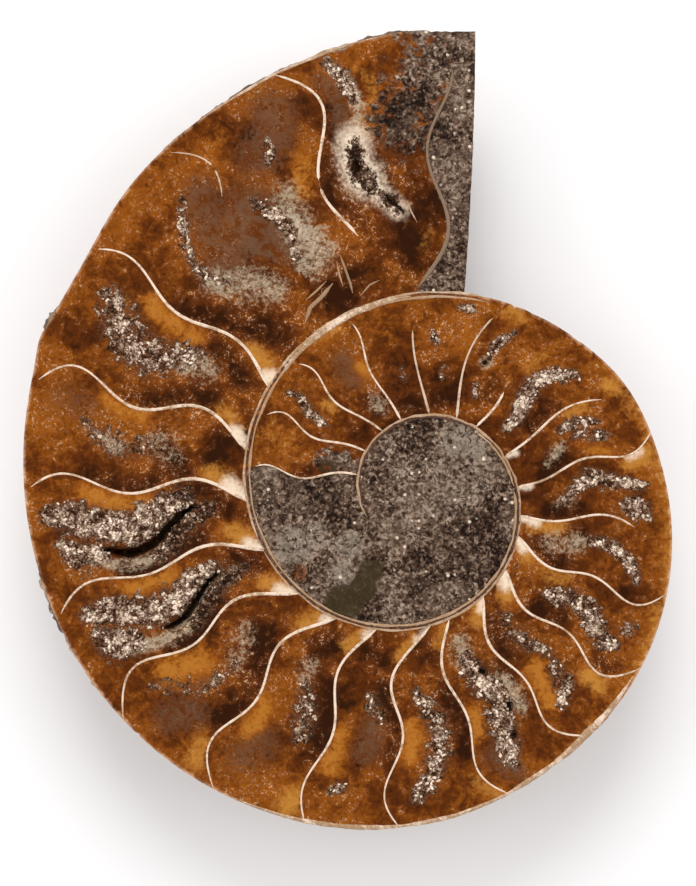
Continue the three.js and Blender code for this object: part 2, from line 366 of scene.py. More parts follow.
        ("golden", 1.9, 1.0, (0.92, 0.92), (0.9, 0.8)),
        ("cream", 1.0, 0.8, (0.97, 0.88), (0.98, 0.8)),
        ("cream", 0.8, 0.9, (0.95, 0.08), (1.0, 0.02)),
    ),
    16: (
        ("druse", 1.0, 0.85, (0.72, 0.42), (0.68, 0.55), (0.62, 0.7)),
        ("druse", 1.1, 0.7, (0.45, 0.5), (0.36, 0.72)),
        ("milk", 1.2, 0.7, (0.3, 0.25), (0.45, 0.4)),
        ("glow", 0.9, 1.0, (0.12, 0.56), (0.1, 0.66)),
        ("golden", 1.2, 0.8, (0.9, 0.56), (0.9, 0.66)),
        ("dark", 1.4, 0.8, (0.15, 0.2), (0.2, 0.36)),
        ("cream", 0.8, 0.9, (0.93, 0.08), (1.0, 0.02)),
    ),
    17: (
        (
            "druse", 1.5, 0.95,
            (0.5, 0.15), (0.55, 0.27), (0.6, 0.42), (0.64, 0.56), (0.55, 0.68), (0.42, 0.78),
        ),
        ("golden", 1.3, 0.9, (0.12, 0.93), (0.2, 0.9)),
        ("dark", 1.5, 0.7, (0.15, 0.3), (0.15, 0.5)),
        ("golden", 1.2, 0.6, (0.9, 0.6), (0.88, 0.75)),
    ),
    18: (
        ("druse", 0.9, 0.85, (0.58, 0.54), (0.62, 0.64), (0.55, 0.72), (0.48, 0.8)),
        ("milk", 1.1, 1.0, (0.62, 0.49), (0.6, 0.51)),
        ("hole", 0.5, 1.0, (0.62, 0.49), (0.61, 0.5)),
        ("druse", 0.8, 0.5, (0.62, 0.2), (0.62, 0.32)),
        ("golden", 1.8, 0.8, (0.85, 0.95), (0.6, 0.94)),
        ("dark", 1.3, 0.5, (0.3, 0.4), (0.25, 0.25)),
    ),
    19: (
        ("druse", 0.8, 0.8, (0.5, 0.88), (0.3, 0.88)),
        ("druse", 0.8, 0.75, (0.72, 0.68), (0.6, 0.57)),
        ("druse", 0.7, 0.5, (0.46, 0.38), (0.46, 0.3)),
        ("dark", 1.8, 0.7, (0.3, 0.12), (0.7, 0.12)),
        ("glow", 1.4, 0.5, (0.15, 0.66), (0.2, 0.55)),
    ),
    20: (
        ("druse", 0.8, 0.4, (0.35, 0.4), (0.35, 0.3)),
        ("dark", 1.8, 0.7, (0.3, 0.1), (0.7, 0.1)),
        ("glow", 2.0, 0.4, (0.4, 0.7), (0.5, 0.85)),
    ),
    21: (
        ("milk", 1.6, 0.7, (0.35, 0.16), (0.4, 0.28)),
        ("glow", 1.3, 1.0, (0.1, 0.5), (0.15, 0.56)),
        ("cloud", 2.4, 0.7, (0.4, 0.5), (0.45, 0.68)),
        ("golden", 1.6, 0.7, (0.2, 0.96), (0.5, 0.95)),
    ),
    22: (
        ("druse", 0.9, 0.8, (0.62, 0.82), (0.56, 0.7), (0.6, 0.58), (0.56, 0.48), (0.6, 0.4)),
        ("golden", 1.3, 0.9, (0.12, 0.44), (0.15, 0.5)),
        ("dark", 1.4, 0.6, (0.4, 0.1), (0.6, 0.15)),
    ),
    23: (
        ("golden", 3.4, 0.4, (0.4, 0.85), (0.45, 0.6)),
        ("murk", 1.8, 0.9, (0.6, 0.3), (0.7, 0.05)),
        ("dark", 1.6, 0.8, (0.85, 0.5), (0.5, 0.25)),
    ),
}
STROKE_KINDS = ("glow", "golden", "cream", "dark", "cloud", "milk", "druse", "murk", "hole")
# How much thinner the ends of a stroke are than its middle.
STROKE_TAPER = {"hole": 0.7, "druse": 0.45, "milk": 0.3}


# ---------------------------------------------------------------------------------------------
# Sizes and colours
# ---------------------------------------------------------------------------------------------


def length(name, description, default):
    return bpy.props.FloatProperty(
        name=name, description=description, default=default, precision=5, unit="LENGTH"
    )


def number(name, description, default):
    return bpy.props.FloatProperty(name=name, description=description, default=default, precision=4)


def angle(name, description, degrees):
    return bpy.props.FloatProperty(
        name=name, description=description, default=math.radians(degrees), subtype="ANGLE"
    )


def colour(name, description, default):
    return bpy.props.FloatVectorProperty(
        name=name, description=description, default=default, size=3, subtype="COLOR", min=0, max=1
    )


class AmmoniteCoil(bpy.types.PropertyGroup):
    """Sizes of the coil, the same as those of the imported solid."""

    mouth: angle("Mouth", "Direction of the sawn mouth from the middle of the coil", 86)
    mouth_lean: angle("Mouth Lean", "How far the mouth's inner end leans round the coil", 2)
    size: length("Size", "Leading radius of the outer wall", 0.0616)
    tighten: number("Tighten", "Fall of the wall's radius for each radian", 0.1316)
    quicken: number("Quicken", "Growth of that fall", 0.0011)
    sway_x: number("Sway Across", "How the coil is squeezed across", -0.0196)
    sway_y: number("Sway Along", "How the coil is squeezed along", -0.0351)
    sway_x_growth: number("Sway Across Growth", "Change of the squeeze inwards", -0.0224)
    sway_y_growth: number("Sway Along Growth", "Change of the squeeze inwards", 0.0057)
    thickness: length("Thickness", "Polished face down to the resting flank", 0.0145)
    umbilicus: number("Umbilicus", "Umbilical seam's radius over the wall's radius", 0.22)
    level_arc: angle("Level Arc", "Stretch of the last whorl whose flank is level", 200)
    thinning: number("Thinning", "How the older whorls thin, for each radian", 0.2)
    crest: number("Crest", "Where the flank is thickest, from the seam to the wall", 0.24)
    ribs: number("Ribs", "Ribs in one turn", 38)
    rib_height: length("Rib Height", "Height of the ribs on the flank", 0.00035)
    wall: length("Wall", "Thickness of the shell between two whorls", 0.0005)
    chip: length("Chips", "Size of the chips along the rim", 0.0005)


class AmmoniteFinish(bpy.types.PropertyGroup):
    """Colours of the fossil."""

    dark: colour("Dark", "Darkest calcite, along the walls", (0.026, 0.0066, 0.0012))
    brown: colour("Brown", "Brown calcite", (0.098, 0.0225, 0.0024))
    amber: colour("Amber", "Amber calcite", (0.225, 0.0600, 0.0046))
    glow: colour("Glow", "Orange calcite under the walls", (0.36, 0.112, 0.0095))
    golden: colour("Golden", "Clear calcite that light comes through", (0.46, 0.198, 0.034))
    cream: colour("Cream", "Clean shell, and cream calcite at the walls", (0.84, 0.69, 0.53))
    wall: colour("Wall", "Chamber walls", (0.80, 0.62, 0.475))
    tan: colour("Tan", "Stained shell", (0.36, 0.205, 0.098))
    milk: colour("Milk", "Milky calcite", (0.37, 0.300, 0.205))
    cloud: colour("Cloud", "Grey-brown cloudy calcite", (0.138, 0.067, 0.035))
    fleck: colour("Fleck", "Light flecks in the calcite", (0.72, 0.46, 0.29))
    crystal: colour("Crystal", "Lightest crystals", (0.86, 0.71, 0.56))
    matrix: colour("Matrix", "Grey rock in the middle and at the mouth", (0.130, 0.084, 0.056))
    pale: colour("Pale", "Grey-green places of the rock", (0.215, 0.180, 0.138))
    olive: colour("Olive", "Olive places of the rock", (0.042, 0.0270, 0.0100))
    shell: colour("Shell", "Shell on the back", (0.34, 0.21, 0.120))


class AmmoniteStage(bpy.types.PropertyGroup):
    """The floor, the light and the camera."""

    floor: colour("Floor", "Colour of the floor", (0.90, 0.89, 0.90))
    lens: bpy.props.FloatProperty(name="Lens", description="Focal length in mm", default=100)
    field: length("Field", "Length that the view's long side shows at the face", 0.1109)


# ---------------------------------------------------------------------------------------------
# The coil's laws. They are written once, and work on numbers and on fields of a node tree.
# ---------------------------------------------------------------------------------------------

# Flats and chips of the rim: degrees back from the mouth, spread in degrees, height in metres.
RIM_FLATS = (
    (0, 6, -0.0011),
    (61, 9, -0.0009),
    (72.5, 3, 0.0005),
    (205, 14, -0.00045),
    (305, 16, 0.0005),
)


class Field:
    """A value in a node tree that is worked on with ordinary arithmetic."""

    def __init__(self, tree, socket):
        self.tree = tree
        self.socket = socket

    def made(self, operation, *values):
        node = self.tree.nodes.new("ShaderNodeMath")
        node.operation = operation
        for slot, value in zip(node.inputs, values):
            if isinstance(value, Field):
                self.tree.links.new(value.socket, slot)
            else:
                slot.default_value = float(value)
        return Field(self.tree, node.outputs[0])

    def __add__(self, other):
        return self.made("ADD", self, other)

    def __radd__(self, other):
        return self.made("ADD", other, self)

    def __sub__(self, other):
        return self.made("SUBTRACT", self, other)

    def __rsub__(self, other):
        return self.made("SUBTRACT", other, self)

    def __mul__(self, other):
        return self.made("MULTIPLY", self, other)

    def __truediv__(self, other):
        return self.made("DIVIDE", self, other)

    def __pow__(self, other):
        return self.made("POWER", self, other)

    def __neg__(self):
        return self.made("MULTIPLY", self, -1)

    def exp(self):
        return self.made("EXPONENT", self)

    def sin(self):
        return self.made("SINE", self)

    def cos(self):
        return self.made("COSINE", self)

    def sqrt(self):
        return self.made("SQRT", self)

    def clamped(self, low, high):
        return self.made("MINIMUM", self.made("MAXIMUM", self, low), high)

    def smooth(self, low, high):
        """0 below low, 1 above high and a smooth rise in between."""
        node = self.tree.nodes.new("ShaderNodeMapRange")
        node.interpolation_type = "SMOOTHSTEP"
        self.tree.links.new(self.socket, node.inputs["Value"])
        node.inputs["From Min"].default_value = low
        node.inputs["From Max"].default_value = high
        return Field(self.tree, node.outputs["Result"])


def clamped(value, low, high):
    return value.clamped(low, high) if isinstance(value, Field) else np.clip(value, low, high)


def smooth(value, low, high):
    if isinstance(value, Field):
        return value.smooth(low, high)
    x = np.clip((value - low) / (high - low), 0, 1)
    return x * x * (3 - 2 * x)


def wall_radius(coil, t):
    """Radius of the outer wall, t radians back from the mouth."""
    bearing = t + coil.mouth
    sway = (t * coil.sway_x_growth + coil.sway_x) * np.cos(bearing)
    sway = sway + (t * coil.sway_y_growth + coil.sway_y) * np.sin(bearing)
    radius = np.exp(sway - t * coil.tighten - t * t * coil.quicken) * coil.size
    for at, spread, height in RIM_FLATS:
        offset = (t - math.radians(at)) / math.radians(spread)
        radius = radius + np.exp(-(offset * offset)) * height
    return radius


def face_lean(coil, t, across):
    """How far a point of the face is turned so that the mouth leans."""
    outer = smooth(t, LEAN_START, TURN) - smooth(t, TURN, LEAN_END)
    inner = smooth(t, -LEAN_SPREAD, 0) - smooth(t, 0, LEAN_SPREAD)
    return (outer * across + inner * (1 - across)) * coil.mouth_lean


def face_point(coil, t, across):
    """Radius and bearing of a point of the polished face."""
    inner = wall_radius(coil, t + TURN)
    radius = inner + (wall_radius(coil, t) - inner) * across
    return radius, t - face_lean(coil, t, across) + coil.mouth


def half_width(coil, t):
    return np.exp(-(clamped(t - coil.level_arc, 0, 100)) * coil.thinning) * coil.thickness


def outer_flank(coil, t, across):
    """Depth of the flank between its crest and the outer wall."""
    fall = clamped((across - coil.crest) / (1 - coil.crest), 0, 1)
    return half_width(coil, t) * (1 - fall**2.5) ** (1 / 1.9)


def flank_depth(coil, t, across):
    """Depth below the polished face of the back of a whorl."""
    older = t + TURN
    seam = wall_radius(coil, t) * coil.umbilicus
    older_wall = wall_radius(coil, older)
    older_seam = older_wall * coil.umbilicus
    seam_depth = outer_flank(coil, older, (seam - older_seam) / (older_wall - older_seam))
    climb = 1 - clamped(across / coil.crest, 0, 1)
    share = np.sqrt(1 - climb * climb)
    return seam_depth + (outer_flank(coil, t, across) - seam_depth) * share


def rib_wave(coil, t, across):
    """Height of the ribs, which curve forwards near the outer wall."""
    swing = np.sin(across * (math.pi * 1.7)) * 0.5 + across * across * 1.1
    wave = np.cos(t * coil.ribs + swing * 2.4)
    fade = smooth(across, 0.3, 0.5) * (1 - smooth(across, 0.85, 1))
    return wave * fade * coil.rib_height


def back_point(coil, t, across, radius_share):
    """Radius, bearing and depth of a point of the back."""
    wall = wall_radius(coil, t)
    seam = wall * coil.umbilicus
    rib = rib_wave(coil, t, across)
    radius = seam + (wall - seam) * across + rib * radius_share
    lean = smooth(t, LEAN_START, TURN) * (1 - smooth(t, TURN, LEAN_END)) * coil.mouth_lean
    turned = t - lean * clamped((across - LEAN_SEAM) / (1 - LEAN_SEAM), 0, 1)
    depth = flank_depth(coil, t, across) + rib * (1 - radius_share)
    return radius, turned + coil.mouth, depth


def coil_middle(coil):
    """Where the middle of the coil lies, with the outline centred in the frame."""
    t = np.linspace(0, TURN, 181)
    radius, bearing = face_point(coil, t, np.ones_like(t))
    x, y = radius * np.cos(bearing), radius * np.sin(bearing)
    return -(x.min() + x.max()) / 2, -(y.min() + y.max()) / 2


# ---------------------------------------------------------------------------------------------
# What is where on the polished face
# ---------------------------------------------------------------------------------------------


def wall_turns(across):
    """Turns of every chamber wall at some heights of the whorl, with a wall beyond each end."""
    rows = []
    for inner, outer, bow, skew, wave, *_ in CHAMBER_WALLS:
        degrees = inner * (1 - across) + outer * across + bow * np.sin(math.pi * across)
        degrees = degrees + skew * np.sin(TURN * across) + wave * np.sin(3 * math.pi * across)
        rows.append(np.radians(degrees))
    rows = [rows[0] - BEYOND_WALLS, *rows, rows[-1] + BEYOND_WALLS]
    return np.maximum.accumulate(np.array(rows), axis=0)


def chamber_of(t, across):
    """Chamber and share of its width, as one number, of points of the face."""
    turns = wall_turns(across)
    index = np.clip((turns <= t).sum(0) - 1, 0, len(turns) - 2)
    column = np.arange(len(t))
    low, high = turns[index, column], turns[index + 1, column]
    return index - 1 + np.clip((t - low) / np.maximum(high - low, 1e-6), 0, 0.9999)


def turn_of(count, across):
    """Turn of a point that lies some chambers back, at a height of the whorl."""
    turns = wall_turns(across)
    index = np.clip(np.floor(count).astype(int) + 1, 0, len(turns) - 2)
    column = np.arange(len(across))
    low, high = turns[index, column], turns[index + 1, column]
    return low + (high - low) * (count - np.floor(count))


def face_xy(coil, t, across):
    radius, bearing = face_point(coil, t, across)
    return np.stack([radius * np.cos(bearing), radius * np.sin(bearing)], -1)


def between(points, steps):
    """Close values along the line through some points, first of one side and then of the other."""
    at = np.linspace(0, len(points) - 1, steps * (len(points) - 1) + 1)
    return [np.interp(at, np.arange(len(points)), side) for side in zip(*points)]


def stroke_line(coil, chamber, points):
    """Close places on the face along a stroke of a chamber."""
    share, across = between(points, STROKE_STEPS)
    return face_xy(coil, turn_of(chamber + np.minimum(share, 0.999), across), across)


def paint_strokes(coil, t, across, chamber):
    """The strength of each kind of filling at every point of the face."""
    place = face_xy(coil, t, across)
    inside = np.floor(chamber).astype(int)
    painted = {kind: np.zeros(len(t)) for kind in STROKE_KINDS}
    for index, strokes in CHAMBER_STROKES.items():
        own = np.nonzero(inside == index)[0]
        for kind, width, strength, *points in strokes:
            line = stroke_line(coil, index, points)
            taper = 1 - STROKE_TAPER.get(kind, 0.0) * np.linspace(-1, 1, len(line)) ** 2
            gap = place[own][:, None, :] - line[None, :, :]
            near = (np.sqrt((gap * gap).sum(-1)) / taper).min(1)
            share = np.clip(1 - near / (width * STROKE_FADE * MILLIMETRE), 0, 1)
            value = strength * share * share * (3 - 2 * share)
            painted[kind][own] = np.maximum(painted[kind][own], value)
    return painted


# ---------------------------------------------------------------------------------------------
# The stone's sheets, still unwound
# ---------------------------------------------------------------------------------------------


class Sheets:
    """Vertices and faces of the unwound stone, and what each vertex knows of its place."""

    def __init__(self):
        self.turn = []
        self.across = []
        self.back = []
        self.reach = []
        self.count = 0
        self.faces = []
        self.face_kinds = []

    def row(self, t, across, back, reach=1.0):
        """Adds the points of one column, and returns their numbers."""
        across = np.atleast_1d(np.asarray(across, float))
        self.turn.append(np.full(len(across), t))
        self.across.append(across)
        self.back.append(np.full(len(across), float(back)))
        self.reach.append(np.full(len(across), reach))
        numbers = np.arange(self.count, self.count + len(across))
        self.count += len(across)
        return numbers

    def quads(self, left, right, kind):
        """Joins two columns of as many points."""
        for a, b, c, d in zip(left[:-1], right[:-1], right[1:], left[1:]):
            self.faces.append((a, b, c, d))
        self.face_kinds += [kind] * (len(left) - 1)

    def zipped(self, left, right, kind):
        """Joins two columns of unlike counts with triangles."""
        i = j = 0
        while i < len(left) - 1 or j < len(right) - 1:
            if j * (len(left) - 1) >= i * (len(right) - 1) and i < len(left) - 1:
                self.faces.append((left[i], right[j], left[i + 1]))
                i += 1
            else:
                self.faces.append((left[i], right[j], right[j + 1]))
                j += 1
            self.face_kinds.append(kind)

    def fan(self, middle, ring, kind):
        for a, b in zip(ring[:-1], ring[1:]):
            self.faces.append((middle, a, b))
        self.face_kinds += [kind] * (len(ring) - 1)


FACE, BACK = 0, 1


def lay_face(sheets, coil):
    """The polished face, wound in from the rim. Returns the columns' numbers."""
    columns = []
    last = len(FACE_ROWS) * COLUMNS
    for column in range(last + 1):
        t = column / COLUMNS * TURN
        rows = FACE_ROWS[min(column // COLUMNS, len(FACE_ROWS) - 1)]
        height = wall_radius(coil, t) - wall_radius(coil, t + TURN)
        own = sheets.row(t, np.linspace(1 - coil.wall / height, 0, rows + 1), 0)
        if column < COLUMNS:
            edge = sheets.row(t, [1.0], 0.5)
        else:
            edge = columns[column - COLUMNS][-1:]
        columns.append(np.concatenate([edge, own]))
    for left, right in zip(columns[:-1], columns[1:]):
        if len(left) == len(right):
            sheets.quads(left, right, FACE)
        else:
            sheets.zipped(left, right, FACE)
    middle = sheets.row(last / COLUMNS * TURN, [0.0], 0, reach=0.0)[0]
    ring = [c[-1] for c in columns[last - COLUMNS :]] + list(columns[last][-2:0:-1])
    sheets.fan(middle, [*ring, ring[0]], FACE)
    return columns


def lay_back(sheets, coil, rim):
    """The ribbed back, wound in from the rim. Returns the columns' numbers."""
    columns = []
    flank = np.arange(1, FLANK_ROWS + 1) / FLANK_ROWS * math.pi / 2
    for column in range(BACK_COLUMNS + 1):
        t = column / COLUMNS * TURN
        wall = wall_radius(coil, t)
        seam = wall * coil.umbilicus
        bare = (wall_radius(coil, t - TURN) * coil.umbilicus - seam) / (wall - seam)
        shares = bare * (np.arange(SEAM_ROWS + 1) / SEAM_ROWS) ** 1.5
        if column >= COLUMNS:
            own = sheets.row(t, shares[:-1], 1)
            own = np.concatenate([own, columns[column - COLUMNS][:1]])
        else:
            own = sheets.row(t, shares, 1)
        if column <= COLUMNS:
            beyond = bare + (1 - bare) * np.sin(flank[:-1]) ** 0.9
            own = np.concatenate([own, sheets.row(t, beyond, 1), [rim[column]]])
        columns.append(own)
    for column, (left, right) in enumerate(zip(columns[:-1], columns[1:])):
        shared = len(left) if column < COLUMNS else SEAM_ROWS + 1
        sheets.quads(left[:shared], right[:shared], BACK)
    middle = sheets.row(BACK_COLUMNS / COLUMNS * TURN, [0.3], 1, reach=0.0)[0]
    ring = [c[0] for c in columns[BACK_COLUMNS - COLUMNS :]] + list(columns[-1][1:SEAM_ROWS])
    sheets.fan(middle, [*ring, ring[0]][::-1], BACK)
    return columns


def mesh_from(name, points, faces, attributes, edges=(), sheet=None):
    """A mesh with float attributes on its points, and the sheet that each face is of."""
    mesh = bpy.data.meshes.new(name)
    mesh.from_pydata(points, edges, faces)
    for title, values in attributes.items():
        layer = mesh.attributes.new(title, "FLOAT", "POINT")
        layer.data.foreach_set("value", np.asarray(values, np.float32))
    if sheet is not None:
        layer = mesh.attributes.new("sheet", "FLOAT", "FACE")
        layer.data.foreach_set("value", np.asarray(sheet, np.float32))
    mesh.update()
    return mesh


# ---------------------------------------------------------------------------------------------
# Node trees
# ---------------------------------------------------------------------------------------------


GEOMETRY = ("Geometry", "Geometry", None)


def new_tree(name, inputs=(), outputs=(GEOMETRY,), kind="GeometryNodeTree"):
    """A node tree with named sockets. An input is its name, its type and its default."""
    tree = bpy.data.node_groups.new(name, kind)
    for title, socket, _ in outputs:
        tree.interface.new_socket(title, in_out="OUTPUT", socket_type="NodeSocket" + socket)
    for title, socket, default in inputs:
        made = tree.interface.new_socket(title, in_out="INPUT", socket_type="NodeSocket" + socket)
        if default is not None:
            made.default_value = default
    return tree


def add(tree, kind, links=None, **settings):
    """Adds a node. A link goes from a Field or a socket, and a plain value is set."""
    node = tree.nodes.new(kind)
    for key, value in settings.items():
        setattr(node, key, value)
    for key, value in (links or {}).items():
        slot = node.inputs[key]
        if isinstance(value, Field):
            tree.links.new(value.socket, slot)
        elif isinstance(value, bpy.types.NodeSocket):
            tree.links.new(value, slot)
        else:
            slot.default_value = value
    return node


class TreeSizes:
    """The coil's sizes as fields, so that its laws can be used inside a node tree."""

    NAMES = (
        "mouth", "mouth_lean", "size", "tighten", "quicken", "sway_x", "sway_y", "sway_x_growth",
        "sway_y_growth", "thickness", "umbilicus", "level_arc", "thinning", "crest", "ribs",
        "rib_height",
    )

    def __init__(self, tree, group_input):
        for name in self.NAMES:
            setattr(self, name, Field(tree, group_input.outputs[self.title(name)]))

    @staticmethod
    def title(name):
        return name.replace("_", " ").title()

    @classmethod
    def values(cls, coil, **more):
        """The coil's sizes, the height of the face and more, by the names of the inputs."""
        known = {cls.title(name): getattr(coil, name) for name in cls.NAMES}
        known["Face Height"] = FACE_HEIGHT
        known.update({cls.title(name): value for name, value in more.items()})
        return known

    @classmethod
    def inputs(cls, coil, **more):
        """The inputs of a tree that works on the coil, with the sizes as defaults."""
        values = cls.values(coil, **more)
        return [GEOMETRY, *((name, "Float", value) for name, value in values.items())]


def named(tree, title):
    node = add(tree, "GeometryNodeInputNamedAttribute", {"Name": title}, data_type="FLOAT")
    return Field(tree, node.outputs["Attribute"])


def noise(tree, size, vector, detail=2.0, roughness=0.5, distortion=0.0, contrast=1.0):
    """Fractal noise from 0 to 1, with features about size metres wide."""
    aside = shifted(tree, vector, size * 31 + 0.7, detail, roughness)
    links = {"Scale": 1 / size, "Detail": detail, "Roughness": roughness, "Vector": aside}
    node = add(tree, "ShaderNodeTexNoise", {**links, "Distortion": distortion})
    value = Field(tree, node.outputs[0])
    return value if contrast == 1 else ((value - 0.5) * contrast + 0.5).clamped(0, 1)


def placed(tree, radius, bearing, height):
    """A position from a radius, a bearing and a height."""
    x, y = radius * np.cos(bearing), radius * np.sin(bearing)
    return add(tree, "ShaderNodeCombineXYZ", {"X": x, "Y": y, "Z": height}).outputs[0]


def vector_math(tree, operation, links):
    return add(tree, "ShaderNodeVectorMath", links, operation=operation).outputs[0]


def shifted(tree, vector, dx, dy, dz):
    return vector_math(tree, "ADD", {0: vector, 1: (dx, dy, dz)})


def set_material(tree, geometry, material, selection=None):
    links = {"Geometry": geometry, "Material": material}
    if selection is not None:
        links["Selection"] = selection
    return add(tree, "GeometryNodeSetMaterial", links).outputs[0]


def finish_tree(tree, geometry, material):
    """Ends a tree in Realize Instances, Set Material and its output."""
    real = add(tree, "GeometryNodeRealizeInstances", {"Geometry": geometry}).outputs[0]
    ended = set_material(tree, real, material)
    add(tree, "NodeGroupOutput", {"Geometry": ended})


def plain_mesh(name, mesh, tree, values):
    """Runs a tree on a mesh, and returns an object that holds the result."""
    source = bpy.data.objects.new(name + "_source", mesh)
    bpy.context.scene.collection.objects.link(source)
    modifier = source.modifiers.new(tree.name, "NODES")
    modifier.node_group = tree
    for item in tree.interface.items_tree:
        if item.item_type == "SOCKET" and item.in_out == "INPUT" and item.name in values:
            modifier[item.identifier] = values[item.name]
    graph = bpy.context.evaluated_depsgraph_get()
    made = bpy.data.meshes.new_from_object(
        source.evaluated_get(graph), preserve_all_data_layers=True, depsgraph=graph
    )
    made.name = name
    bpy.data.objects.remove(source)
    if made.materials and made.materials[0] is None:
        made.materials.pop(index=0)
    if not len(made.polygons):
        raise RuntimeError(f"{name}: the node tree made no faces")
    piece = bpy.data.objects.new(name, made)
    bpy.context.scene.collection.objects.link(piece)
    return piece


def moved_to(tree, given, place):
    """The given geometry with its points at a place of their own."""
    links = {"Geometry": given.outputs["Geometry"], "Position": place}
    return add(tree, "GeometryNodeSetPosition", links).outputs[0]


def on_face_line(tree, given, coil_sizes, middle):
    """The given line laid on the face, and the bearing of its points."""
    radius, bearing = face_point(coil_sizes, named(tree, "turn"), named(tree, "across"))
    spot = placed(tree, radius, bearing, given.outputs["Face Height"])
    return moved_to(tree, given, shifted(tree, spot, *middle, 0)), bearing


def coil_tree(coil, middle, materials):
    """Winds the sheets into the stone: the face level, the back rounded and ribbed."""
    tree = new_tree("Coil", TreeSizes.inputs(coil, chips=coil.chip))
    given = add(tree, "NodeGroupInput")
    sizes = TreeSizes(tree, given)
    turn, across = named(tree, "turn"), named(tree, "across")
    back, reach = named(tree, "back"), named(tree, "reach")
    top = Field(tree, given.outputs["Face Height"])
    chips = Field(tree, given.outputs["Chips"])

    radius, bearing = face_point(sizes, turn, across)
    face = placed(tree, radius * reach, bearing, top - named(tree, "sunk"))
    share = across * across
    radius, bearing, depth = back_point(sizes, turn, across, share)
    below = top - depth
    under = placed(tree, radius * reach, bearing, below.made("MAXIMUM", below, FLOOR_GAP))
    wound = add(tree, "ShaderNodeMix", {0: back, 4: face, 5: under}, data_type="VECTOR").outputs[1]

    # Chips: the rim is knocked inwards and down in places.
    rough = noise(tree, 0.0022, wound, 3) + noise(tree, 0.009, wound, 1) - 1.17
    bite = (rough * 4.5).clamped(0, 1) * named(tree, "rim") * chips
    outwards = vector_math(tree, "MULTIPLY", {0: wound, 1: (1, 1, 0)})
    outwards = vector_math(tree, "NORMALIZE", {0: outwards})
    knocked = vector_math(tree, "SCALE", {0: outwards, "Scale": -bite})
    chipped = vector_math(tree, "ADD", {0: wound, 1: knocked})

    # Grain: pits where crystals show, and a worn shell on the back.
    pits = (noise(tree, 0.0008, wound) - 0.5) * named(tree, "rugged") * PIT_DEPTH
    worn = (noise(tree, 0.0035, wound, 4) - 0.5) * back * (1 - named(tree, "rim")) * WEAR_DEPTH
    lifted = add(tree, "ShaderNodeCombineXYZ", {"Z": pits - bite * 0.5 + worn}).outputs[0]
    ended = shifted(tree, vector_math(tree, "ADD", {0: chipped, 1: lifted}), *middle, 0)
    moved = moved_to(tree, given, ended)
    real = add(tree, "GeometryNodeRealizeInstances", {"Geometry": moved}).outputs[0]
    shown = set_material(tree, real, materials[BACK])
    on_face = add(
        tree,
        "FunctionNodeCompare",
        {0: named(tree, "sheet"), 1: 0.5},
        data_type="FLOAT",
        operation="LESS_THAN",
    ).outputs[0]
    shown = set_material(tree, shown, materials[FACE], on_face)
    add(tree, "NodeGroupOutput", {"Geometry": shown})
    return tree


def ribbon_tree(name, coil, middle, material, flatness):
    """Lays thin rounded ribbons along lines of the face."""
    tree = new_tree(name, TreeSizes.inputs(coil, flatness=flatness))
    given = add(tree, "NodeGroupInput")
    lines, _ = on_face_line(tree, given, TreeSizes(tree, given), middle)
    curves = add(tree, "GeometryNodeMeshToCurve", {"Mesh": lines}).outputs[0]
    upright = add(tree, "GeometryNodeSetCurveNormal", {"Curve": curves}, mode="Z_UP").outputs[0]
    ring = add(tree, "GeometryNodeCurvePrimitiveCircle", {"Resolution": 8, "Radius": 1.0})
    links = {"X": 1.0, "Y": given.outputs["Flatness"], "Z": 1.0}
    squeeze = add(tree, "ShaderNodeCombineXYZ", links).outputs[0]
    links = {"Geometry": ring.outputs[0], "Scale": squeeze}
    flat = add(tree, "GeometryNodeTransform", links).outputs[0]
    links = {"Curve": upright, "Profile Curve": flat, "Scale": named(tree, "half_width")}
    ribbons = add(tree, "GeometryNodeCurveToMesh", {**links, "Fill Caps": True}).outputs[0]
    ribbons = add(tree, "GeometryNodeSetShadeSmooth", {"Geometry": ribbons}).outputs[0]
    finish_tree(tree, ribbons, material)
    return tree


def crystal_clumps(tree, place):
    """Where crystals stand close and are light, from 0 to 1."""
    return noise(tree, 0.0012, place, 3, 0.6, 0.8, 3.4)


